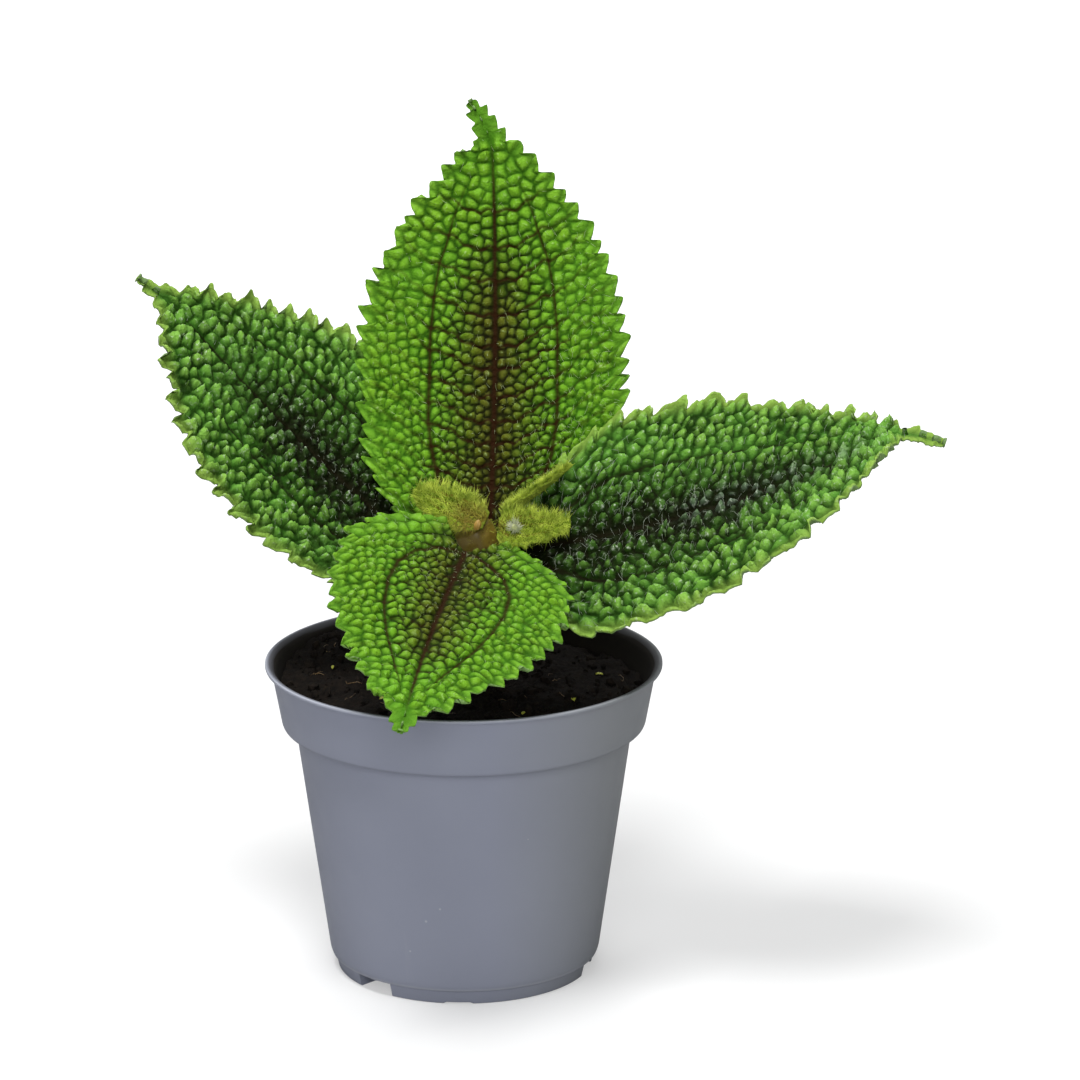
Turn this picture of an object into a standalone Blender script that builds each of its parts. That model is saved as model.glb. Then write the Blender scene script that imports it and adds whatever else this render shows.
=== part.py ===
"""Potted pilea: a young moon valley pilea in a small grey nursery pot.

Dimensions are in millimetres and turned into metres as each mesh is made.
The pot stands on z = 0 with its axis on the z axis; -y is the front.
"""

import math

import bmesh
import bpy
import numpy as np
from mathutils import Matrix, Vector

MM = 0.001

# Pot
POT_HEIGHT = 48.0
LIP_RADIUS = 30.0
LIP_THICKNESS = 0.5
WALL = 0.7
FLOOR = 0.8
BAND_TOP_RADIUS = 29.1
BAND_EDGE = (27.55, 39.0)
BODY_TOP = (25.5, 38.2)
BODY_BOTTOM = (20.55, 3.1)
FOOT_RADIUS = 19.2
FOOT_HEIGHT = 2.2
ROUND_STEPS = 60

# Drain channels moulded into the foot
CHANNEL_ANGLES = (-43.5, 76.5, 196.5)
CHANNEL_WIDTH = 6.6
CHANNEL_INNER = 10.0
DRAIN_RADIUS = 1.5
DRAIN_OFFSET = 14.0

# Soil
GAP = 0.3
SOIL_EDGE = (27.3, 43.4)
SOIL_MIDDLE = 44.8

# Leaf blades
BLADE_THICKNESS = 1.2
BLADE_COLUMNS = 8
TIP_HALF_WIDTH = 0.55
TOOTH_DEPTH = 1.1
TOOTH_LEAN = 0.7

# Outline stations: share of the length from the base, share of the half width
OVATE = (
    (0.00, 0.30), (0.05, 0.66), (0.10, 0.82), (0.16, 0.91), (0.25, 0.965), (0.36, 0.99),
    (0.44, 1.00), (0.52, 0.975), (0.60, 0.90), (0.68, 0.765), (0.76, 0.59), (0.82, 0.44),
    (0.87, 0.27), (0.90, 0.14), (0.93, 0.085), (0.97, 0.05), (1.00, 0.01),
)
HEART = (
    (0.00, 0.30), (0.03, 0.62), (0.08, 0.84), (0.15, 0.96), (0.24, 1.00), (0.36, 0.98),
    (0.48, 0.88), (0.60, 0.72), (0.70, 0.57), (0.80, 0.40), (0.87, 0.25), (0.92, 0.14),
    (0.96, 0.07), (1.00, 0.01),
)
YOUNG = (
    (0.00, 0.45), (0.10, 0.75), (0.25, 0.95), (0.40, 1.00), (0.60, 0.92), (0.80, 0.68),
    (0.93, 0.40), (1.00, 0.15),
)
BOWL = (
    (0.00, 0.60), (0.10, 0.90), (0.24, 1.00), (0.44, 0.92), (0.64, 0.72), (0.84, 0.52),
    (1.00, 0.22),
)

# Each blade: where its midrib starts, the way it points (heading 0 is the front, 90 the
# right), how it rolls, how its midrib bends, its size and the shape of its cross-section.
BLADES = {
    "leaf_back": {
        "base": (4.0, 8.7, 68.0), "heading": 175.3, "rise": 60.5, "roll": 2.0,
        "lift": (7.6, 5.7), "sweep": -3.7, "tip_sweep": -29.4, "tip_lift": 0.9, "twist": 7.2,
        "length": 65.5, "half_widths": (20.6, 19.9), "fold": 0.03, "cup": -0.01, "lobe": 1.0,
        "outline": OVATE, "teeth": 21,
    },
    "leaf_left": {
        "base": (-7.4, 10.6, 62.7), "heading": 252.6, "rise": 38.7, "roll": 29.9,
        "lift": (3.7, 9.4), "sweep": 2.5, "tip_sweep": -17.2, "tip_lift": -4.8, "twist": -9.2,
        "length": 59.1, "half_widths": (20.2, 20.7), "fold": 0.13, "cup": -0.02, "lobe": 1.0,
        "outline": OVATE, "teeth": 17,
    },
    "leaf_right": {
        "base": (14.0, -2.4, 67.1), "heading": 72.7, "rise": 14.1, "roll": -46.5,
        "lift": (-12.3, 6.5), "sweep": -27.9, "tip_sweep": 42.9, "tip_lift": -26.7,
        "twist": 40.4, "length": 61.6, "half_widths": (22.4, 20.9), "fold": 0.13,
        "cup": -0.02, "lobe": 0.04, "outline": OVATE, "teeth": 16,
    },
    "leaf_front": {
        "base": (0.2, -9.8, 67.4), "heading": -18.0, "rise": -23.8, "roll": 18.5,
        "lift": (1.4, 10.2), "sweep": -7.3, "tip_sweep": -0.1, "tip_lift": -17.4,
        "twist": -0.8, "length": 40.7, "half_widths": (17.7, 16.9), "fold": 0.11,
        "cup": 0.0, "lobe": 4.0, "outline": HEART, "teeth": 15,
    },
    "young_leaf_left": {
        "base": (3.6, -1.8, 70.8), "heading": 257.5, "rise": 18.0, "roll": 40.0,
        "lift": (6.0, 0.0), "sweep": 0.0, "tip_sweep": 0.0, "tip_lift": 0.0, "twist": 0.0,
        "length": 11.8, "half_widths": (3.2, 2.4), "fold": 0.15, "cup": 0.10, "lobe": 0.0,
        "outline": YOUNG, "teeth": 9,
    },
    "young_leaf_right": {
        "base": (5.3, -1.4, 69.7), "heading": 82.0, "rise": 3.0, "roll": -48.0,
        "lift": (6.0, 0.0), "sweep": 0.0, "tip_sweep": 0.0, "tip_lift": 0.0, "twist": 0.0,
        "length": 11.0, "half_widths": (2.0, 4.6), "fold": 0.12, "cup": 0.30, "lobe": 0.0,
        "outline": BOWL, "teeth": 8,
    },
    "young_leaf_rear": {
        "base": (5.6, 1.5, 70.7), "heading": 94.0, "rise": 28.0, "roll": 14.0,
        "lift": (13.0, 0.0), "sweep": 0.0, "tip_sweep": 0.0, "tip_lift": 0.0, "twist": 0.0,
        "length": 13.0, "half_widths": (1.5, 1.5), "fold": 0.10, "cup": 0.0, "lobe": 0.0,
        "outline": YOUNG, "teeth": 9,
    },
}
YOUNG_THICKNESS = 1.1

# Stem and stalks: centre-line points with the radius at each
STEM = (
    (2.2, 1.2, 45.1, 2.3), (2.4, 1.1, 50.0, 2.0), (2.7, 1.0, 57.5, 2.2), (3.1, 0.8, 62.0, 1.9),
    (3.3, 0.4, 64.6, 2.4), (2.2, -0.2, 67.0, 2.8), (1.3, -0.4, 68.9, 3.0),
)
STALKS = {
    "leaf_left": ((-0.3, 2.1, 56.2, 1.25), (-3.2, 5.0, 57.8, 1.2)),
    "leaf_right": ((5.8, 0.6, 57.2, 1.25), (8.6, -0.8, 60.2, 1.2)),
    "leaf_back": ((3.6, 4.0, 58.6, 1.2), (3.9, 8.0, 61.4, 1.15)),
    "leaf_front": ((2.6, -2.0, 58.4, 1.2), (1.8, -6.0, 61.6, 1.15)),
}
STALK_END_RADIUS = 0.8
STALK_REACH = 0.07

# Bud and scale between the young leaves: centre, half sizes, tilt about y
BUD_CENTRE = (7.7, -4.25, 70.1)
BUD_SIZE = (0.8, 0.6, 0.8)
SCALE_CENTRE = (2.2, -4.35, 70.5)
SCALE_SIZE = (0.55, 0.35, 0.8)
SCALE_TILT = 14.0

# Colours: base colour, roughness
FINISHES = {
    "pot": ((0.21, 0.23, 0.27), 0.55),
    "soil": ((0.018, 0.012, 0.009), 0.95),
    "stem": ((0.25, 0.20, 0.07), 0.6),
    "petiole": ((0.22, 0.30, 0.06), 0.6),
    "leaf_back": ((0.10, 0.34, 0.03), 0.5),
    "leaf_left": ((0.04, 0.19, 0.025), 0.5),
    "leaf_right": ((0.04, 0.20, 0.03), 0.5),
    "leaf_front": ((0.11, 0.36, 0.03), 0.5),
    "young": ((0.36, 0.46, 0.05), 0.7),
    "scale": ((0.55, 0.33, 0.12), 0.7),
}


def clear_scene():
    for thing in list(bpy.data.objects):
        bpy.data.objects.remove(thing, do_unlink=True)


def collection(name):
    made = bpy.data.collections.new(name)
    bpy.context.scene.collection.children.link(made)
    return made


def material(name, finish):
    colour, roughness = FINISHES[finish]
    made = bpy.data.materials.new(name)
    made.use_nodes = True
    shader = made.node_tree.nodes["Principled BSDF"]
    shader.inputs["Base Color"].default_value = (*colour, 1.0)
    shader.inputs["Roughness"].default_value = roughness
    shader.inputs["Metallic"].default_value = 0.0
    return made


def add_object(name, data, home, finish=None):
    made = bpy.data.objects.new(name, data)
    home.objects.link(made)
    if finish:
        data.materials.append(material(name, finish))
    return made


def add_cutter(name, data, home):
    made = add_object(name, data, home)
    made.hide_render = True
    made.display_type = "WIRE"
    return made


def boolean(target, tool, operation):
    step = target.modifiers.new(tool.name, "BOOLEAN")
    step.operation = operation
    step.solver = "EXACT"
    step.object = tool


def turned(name, profile, home, finish):
    """Solid of revolution; the profile starts and ends on the axis."""
    mesh = bpy.data.meshes.new(name)
    points = [(r * MM, 0.0, z * MM) for r, z in profile]
    mesh.from_pydata(points, [(i, i + 1) for i in range(len(points) - 1)], [])
    made = add_object(name, mesh, home, finish)
    screw = made.modifiers.new("Turn", "SCREW")
    screw.steps = ROUND_STEPS
    screw.render_steps = ROUND_STEPS
    screw.use_merge_vertices = True
    screw.merge_threshold = 0.00001
    screw.use_smooth_shade = True
    return made


def block(name, size, centre, angle, home):
    """Box `size` whose centre is moved out along the front axis, then turned by `angle`."""
    mesh = bpy.data.meshes.new(name)
    shape = bmesh.new()
    turn = Matrix.Rotation(math.radians(angle), 4, "Z")
    place = turn @ Matrix.Translation(Vector(centre) * MM) @ Matrix.Diagonal((*size, 1.0))
    bmesh.ops.create_cube(shape, size=MM, matrix=place)
    shape.to_mesh(mesh)
    shape.free()
    return add_cutter(name, mesh, home)


def drill(name, angle, home):
    mesh = bpy.data.meshes.new(name)
    shape = bmesh.new()
    turn = Matrix.Rotation(math.radians(angle), 4, "Z")
    place = turn @ Matrix.Translation(Vector((0.0, -DRAIN_OFFSET, 2.5)) * MM)
    bmesh.ops.create_cone(
        shape, cap_ends=True, segments=20, radius1=DRAIN_RADIUS * MM,
        radius2=DRAIN_RADIUS * MM, depth=2.0 * MM, matrix=place,
    )
    shape.to_mesh(mesh)
    shape.free()
    return add_cutter(name, mesh, home)


def radial_block(name, width, inner, outer, low, high, angle, home):
    size = (width, outer - inner, high - low)
    centre = (0.0, -(inner + outer) / 2, (low + high) / 2)
    return block(name, size, centre, angle, home)


def make_pot(home, tools):
    inner_band = (BAND_EDGE[0] - WALL, BAND_EDGE[1] + 0.9)
    inner_body = (BODY_TOP[0] - WALL, BODY_TOP[1] + 0.8)
    inner_low = (BODY_BOTTOM[0] - WALL, BODY_BOTTOM[1] + 0.4)
    lip_low = POT_HEIGHT - LIP_THICKNESS
    profile = (
        (0.0, FLOOR), (FOOT_RADIUS - WALL, FLOOR), (FOOT_RADIUS - WALL, FOOT_HEIGHT + 0.5),
        (18.8, 3.0), (19.5, 3.1), inner_low, inner_body, (25.05, 39.45), (26.55, 39.55),
        inner_band, (BAND_TOP_RADIUS - WALL, lip_low - 0.3),
        (LIP_RADIUS - 0.85, POT_HEIGHT - 0.1), (LIP_RADIUS - 0.65, POT_HEIGHT),
        (LIP_RADIUS - 0.12, POT_HEIGHT), (LIP_RADIUS, POT_HEIGHT - 0.12),
        (LIP_RADIUS, lip_low + 0.1), (LIP_RADIUS - 0.12, lip_low),
        (BAND_TOP_RADIUS + 0.2, lip_low), (BAND_TOP_RADIUS, lip_low - 0.25), BAND_EDGE,
        (27.45, 38.75), (27.15, 38.6), (25.75, 38.5), BODY_TOP, BODY_BOTTOM,
        (20.45, 2.6), (20.2, 2.3), (19.85, FOOT_HEIGHT), (FOOT_RADIUS, FOOT_HEIGHT),
        (FOOT_RADIUS, 0.2), (FOOT_RADIUS - 0.2, 0.0), (0.0, 0.0),
    )
    pot = turned("pot", profile, home, "pot")
    for index, angle in enumerate(CHANNEL_ANGLES):
        roof = radial_block(
            f"channel_roof_{index}", CHANNEL_WIDTH + 2 * WALL, CHANNEL_INNER - WALL, 19.0,
            0.3, FOOT_HEIGHT + WALL, angle, tools,
        )
        boolean(pot, roof, "UNION")
    for index, angle in enumerate(CHANNEL_ANGLES):
        groove = radial_block(
            f"channel_{index}", CHANNEL_WIDTH, CHANNEL_INNER, 19.8, -1.0, FOOT_HEIGHT, angle,
            tools,
        )
        boolean(pot, groove, "DIFFERENCE")
        boolean(pot, drill(f"drain_{index}", angle, tools), "DIFFERENCE")
    return pot


def make_soil(home, tools):
    profile = (
        (0.0, SOIL_MIDDLE), (9.0, SOIL_MIDDLE - 0.1), (17.0, SOIL_MIDDLE - 0.4),
        (23.0, SOIL_MIDDLE - 0.8), SOIL_EDGE, (BAND_EDGE[0] - WALL - GAP, BAND_EDGE[1] + 1.1),
        (26.3, 39.85), (24.9, 39.75), (BODY_TOP[0] - WALL - GAP, BODY_TOP[1] + 1.0),
        (BODY_BOTTOM[0] - WALL - GAP, BODY_BOTTOM[1] + 0.7), (19.3, 3.5), (18.7, 3.35),
        (FOOT_RADIUS - WALL - GAP, 3.1), (FOOT_RADIUS - WALL - GAP, FLOOR + GAP),
        (0.0, FLOOR + GAP),
    )
    soil = turned("soil", profile, home, "soil")
    for index, angle in enumerate(CHANNEL_ANGLES):
        space = radial_block(
            f"channel_space_{index}", CHANNEL_WIDTH + 2 * (WALL + GAP),
            CHANNEL_INNER - WALL - GAP, 24.0, -1.0, FOOT_HEIGHT + WALL + GAP, angle, tools,
        )
        boolean(soil, space, "DIFFERENCE")
    return soil


def smooth_step(value):
    value = min(1.0, max(0.0, value))
    return value * value * (3.0 - 2.0 * value)


def unit(vector):
    return vector / np.linalg.norm(vector)


def midrib(spec, stations=81):
    """Points along the midrib with the side and upward directions at each."""
    rise, heading, roll = np.radians([spec["rise"], spec["heading"], spec["roll"]])
    along = np.array([
        math.cos(rise) * math.sin(heading), -math.cos(rise) * math.cos(heading), math.sin(rise),
    ])
    level = -np.array([math.cos(heading), math.sin(heading), 0.0])
    up = np.cross(level, along)
    side = level * math.cos(roll) + up * math.sin(roll)
    axes = np.array([side, along, np.cross(side, along)])
    points = [np.array(spec["base"])]
    sides = []
    ups = []
    runs = []
    for i in range(stations):
        t = i / (stations - 1)
        near_tip = smooth_step((t - 0.84) / 0.12)
        yaw = math.radians(spec["sweep"] * t + spec["tip_sweep"] * near_tip)
        pitch = spec["lift"][0] * t + spec["lift"][1] * t * t + spec["tip_lift"] * near_tip
        pitch = math.radians(pitch)
        twist = math.radians(spec["twist"] * t)
        run = np.array([
            math.sin(yaw) * math.cos(pitch), math.cos(yaw) * math.cos(pitch), math.sin(pitch),
        ])
        flat = np.array([math.cos(yaw), -math.sin(yaw), 0.0])
        normal = np.cross(flat, run)
        runs.append(run @ axes)
        sides.append((flat * math.cos(twist) + normal * math.sin(twist)) @ axes)
        ups.append((normal * math.cos(twist) - flat * math.sin(twist)) @ axes)
        if i:
            points.append(points[-1] + (runs[-2] + runs[-1]) / 2 * spec["length"] / (stations - 1))
    return np.array(points), np.array(sides), np.array(ups), np.array(runs)


def sample(table, t):
    """Linear reading of a table along the midrib, carried straight on before its start."""
    last = len(table) - 1
    place = min(max(t, 0.0), 1.0) * last
    low = min(int(place), last - 1)
    return table[low] + (table[low + 1] - table[low]) * (place - low)


def half_width(spec, t, across):
    outline = np.array(spec["outline"])
    share = float(np.interp(t, outline[:, 0], outline[:, 1]))
    return max(share * spec["half_widths"][1 if across > 0 else 0], TIP_HALF_WIDTH)


def blade_point(spec, rib, t, across, outwards=0.0, forwards=0.0):
    points, sides, ups, runs = rib
    reach = half_width(spec, t, across) * abs(across)
    place = t - spec["lobe"] / spec["length"] * abs(across) ** 1.5 * (1.0 - t) ** 3
    centre = sample(points, place) + runs[0] * min(place, 0.0) * spec["length"]
    width = reach + outwards
    lift = spec["fold"] * width + spec["cup"] * width * width * 2 / sum(spec["half_widths"])
    step = sample(sides, place) * math.copysign(width, across) + sample(ups, place) * lift
    return centre + step + sample(runs, place) * forwards


def make_blade(name, finish, thickness, home):
    """Toothed blade: a grid laid along the midrib and given its thickness."""
    spec = BLADES[name]
    rib = midrib(spec)
    rows = 3 * spec["teeth"]
    shape = bmesh.new()
    bmesh.ops.create_grid(shape, x_segments=BLADE_COLUMNS, y_segments=rows, size=1.0)
    for vertex in shape.verts:
        across = vertex.co.x
        row = round((vertex.co.y + 1.0) / 2 * rows)
        t = row / rows
        outwards = 0.0
        forwards = 0.0
        if abs(across) > 0.99 and 0 < row < rows:
            scale = min(1.0, half_width(spec, t, across) / 6.0) * thickness / BLADE_THICKNESS
            outwards = (-0.3, 0.25, TOOTH_DEPTH)[row % 3] * scale
            forwards = (0.0, 0.2, TOOTH_LEAN)[row % 3] * scale
        vertex.co = Vector(blade_point(spec, rib, t, across, outwards, forwards)) * MM
    for face in shape.faces:
        face.smooth = True
    mesh = bpy.data.meshes.new(name)
    shape.to_mesh(mesh)
    shape.free()
    made = add_object(name, mesh, home, finish)
    thicken = made.modifiers.new("Thickness", "SOLIDIFY")
    thicken.thickness = thickness * MM
    thicken.offset = 0.0
    return made


def make_tube(name, stations, finish, home):
    """Round stalk along a smooth line, with closed ends."""
    line = bpy.data.curves.new(name, "CURVE")
    line.dimensions = "3D"
    line.bevel_depth = MM
    line.bevel_resolution = 2
    line.use_fill_caps = True
    line.resolution_u = 4
    spline = line.splines.new("BEZIER")
    spline.bezier_points.add(len(stations) - 1)
    for point, (x, y, z, radius) in zip(spline.bezier_points, stations):
        point.co = Vector((x, y, z)) * MM
        point.radius = radius
        point.handle_left_type = "AUTO"
        point.handle_right_type = "AUTO"
    return add_object(name, line, home, finish)


def make_stalk(name, stations, home):
    """Stalk that ends lying along the underside of its blade, just clear of it."""
    spec = BLADES[name]
    rib = midrib(spec)
    clear = BLADE_THICKNESS / 2 + GAP + STALK_END_RADIUS
    ends = []
    for t in (0.0, STALK_REACH):
        under = blade_point(spec, rib, t, 0.0) - sample(rib[2], t) * clear
        ends.append((*under, STALK_END_RADIUS))
    title = name.replace("leaf", "petiole")
    return make_tube(title, (*stations, *ends), "petiole", home)


def make_bud(name, centre, size, tilt, finish, home):
    mesh = bpy.data.meshes.new(name)
    shape = bmesh.new()
    turn = Matrix.Rotation(math.radians(tilt), 4, "Y")
    place = Matrix.Translation(Vector(centre) * MM) @ turn @ Matrix.Diagonal((*size, 1.0))
    bmesh.ops.create_uvsphere(shape, u_segments=14, v_segments=9, radius=MM, matrix=place)
    for face in shape.faces:
        face.smooth = True
    shape.to_mesh(mesh)
    shape.free()
    return add_object(name, mesh, home, finish)


def main():
    clear_scene()
    home = collection("potted_pilea")
    tools = collection("cutters")
    make_pot(home, tools)
    make_soil(home, tools)
    make_tube("stem", STEM, "stem", home)
    for name, stations in STALKS.items():
        make_stalk(name, stations, home)
    for name in ("leaf_back", "leaf_left", "leaf_right", "leaf_front"):
        make_blade(name, name, BLADE_THICKNESS, home)
    for name in ("young_leaf_left", "young_leaf_right", "young_leaf_rear"):
        make_blade(name, "young", YOUNG_THICKNESS, home)
    make_bud("shoot_tip", BUD_CENTRE, BUD_SIZE, 0.0, "young", home)
    make_bud("stipule", SCALE_CENTRE, SCALE_SIZE, SCALE_TILT, "scale", home)


main()
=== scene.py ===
"""Looks of the potted pilea: blistered leaves, downy shoot, peat and a moulded grey pot.

Lengths in the tables are millimetres and become metres as each mesh is made.
The pot stands on z = 0 on the z axis; -y is the front.
"""

import math

import bmesh
import bpy
import numpy as np
from mathutils import Matrix, Vector, noise


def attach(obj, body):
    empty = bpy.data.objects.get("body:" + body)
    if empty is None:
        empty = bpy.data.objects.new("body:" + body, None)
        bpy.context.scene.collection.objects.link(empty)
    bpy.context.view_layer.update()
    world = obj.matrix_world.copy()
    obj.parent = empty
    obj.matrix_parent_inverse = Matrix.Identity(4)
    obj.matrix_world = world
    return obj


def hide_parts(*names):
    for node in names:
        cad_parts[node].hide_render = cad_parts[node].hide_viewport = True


MM = 0.001
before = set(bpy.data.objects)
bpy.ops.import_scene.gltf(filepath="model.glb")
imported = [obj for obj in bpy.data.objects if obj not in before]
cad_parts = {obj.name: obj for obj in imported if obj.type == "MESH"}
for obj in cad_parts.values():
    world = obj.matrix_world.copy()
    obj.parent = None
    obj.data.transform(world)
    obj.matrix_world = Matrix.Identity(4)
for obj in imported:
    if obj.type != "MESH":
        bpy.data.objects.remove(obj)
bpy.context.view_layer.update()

# Camera: how far it looks down, its distance, the point it looks at and its lens
CAMERA_PITCH = 16.2
CAMERA_DISTANCE = 850.0
CAMERA_TARGET = (11.5, 0.0, 66.9)
CAMERA_LENS = 188.8

# Leaf outlines: share of the length from the base, share of the half width
OVATE = (
    (0.00, 0.30), (0.05, 0.66), (0.10, 0.82), (0.16, 0.91), (0.25, 0.965), (0.36, 0.99),
    (0.44, 0.99), (0.52, 0.95), (0.60, 0.86), (0.68, 0.715), (0.73, 0.60), (0.77, 0.495),
    (0.82, 0.36), (0.865, 0.235), (0.885, 0.125), (0.93, 0.085), (0.97, 0.06), (1.00, 0.03),
)
LEFT_OVATE = OVATE[:13] + (
    (0.865, 0.25), (0.895, 0.155), (0.93, 0.10), (0.97, 0.06), (1.00, 0.03),
)
LONG_OVATE = (
    (0.00, 0.30), (0.05, 0.66), (0.10, 0.82), (0.16, 0.91), (0.25, 0.965), (0.36, 0.99),
    (0.44, 1.00), (0.52, 0.975), (0.60, 0.90), (0.68, 0.765), (0.76, 0.59), (0.82, 0.43),
    (0.865, 0.24), (0.885, 0.11), (0.93, 0.085), (0.97, 0.06), (1.00, 0.03),
)
HEART = (
    (0.00, 0.30), (0.03, 0.62), (0.08, 0.84), (0.15, 0.96), (0.24, 1.00), (0.36, 0.98),
    (0.48, 0.88), (0.60, 0.72), (0.70, 0.55), (0.80, 0.365), (0.86, 0.235), (0.90, 0.14),
    (0.96, 0.09), (1.00, 0.03),
)
YOUNG = (
    (0.00, 0.45), (0.10, 0.75), (0.25, 0.95), (0.40, 1.00), (0.60, 0.92), (0.80, 0.68),
    (0.93, 0.40), (1.00, 0.15),
)
BOWL = (
    (0.00, 0.60), (0.10, 0.90), (0.24, 1.00), (0.44, 0.92), (0.64, 0.72), (0.84, 0.52),
    (1.00, 0.22),
)
# Side veins: share of the length, share of the half width of the widest part
SIDE_VEIN = (
    (0.00, 0.00), (0.03, 0.17), (0.07, 0.32), (0.10, 0.39), (0.16, 0.45), (0.24, 0.49),
    (0.44, 0.485), (0.54, 0.455), (0.61, 0.415), (0.65, 0.365), (0.72, 0.30), (0.80, 0.19),
    (0.88, 0.05), (1.00, 0.00),
)
HEART_SIDE_VEIN = (
    (0.00, 0.00), (0.04, 0.22), (0.10, 0.40), (0.18, 0.50), (0.28, 0.52), (0.40, 0.47),
    (0.52, 0.37), (0.64, 0.24), (0.76, 0.12), (0.88, 0.03), (1.00, 0.00),
)

# What the three downy young blades share
YOUNG_BLADE = {
    "sweep": 0.0, "tip_sweep": 0.0, "tip_lift": 0.0, "twist": 0.0, "lobe": (0.0, 0.0),
    "heel": 0.0, "downy": (0.0, 0.0), "side_vein": SIDE_VEIN,
    "teeth": ((1.5, 1.5), (1.5, 1.5)), "pitch": (0.8, 0.9), "height": 0.3, "ridge": 0.0,
    "grain": 0.1, "peak": 0.4, "lean": 0.1, "skin": 0.6, "ladder": 0.0, "sheen_and_hair": 0.0,
}
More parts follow.
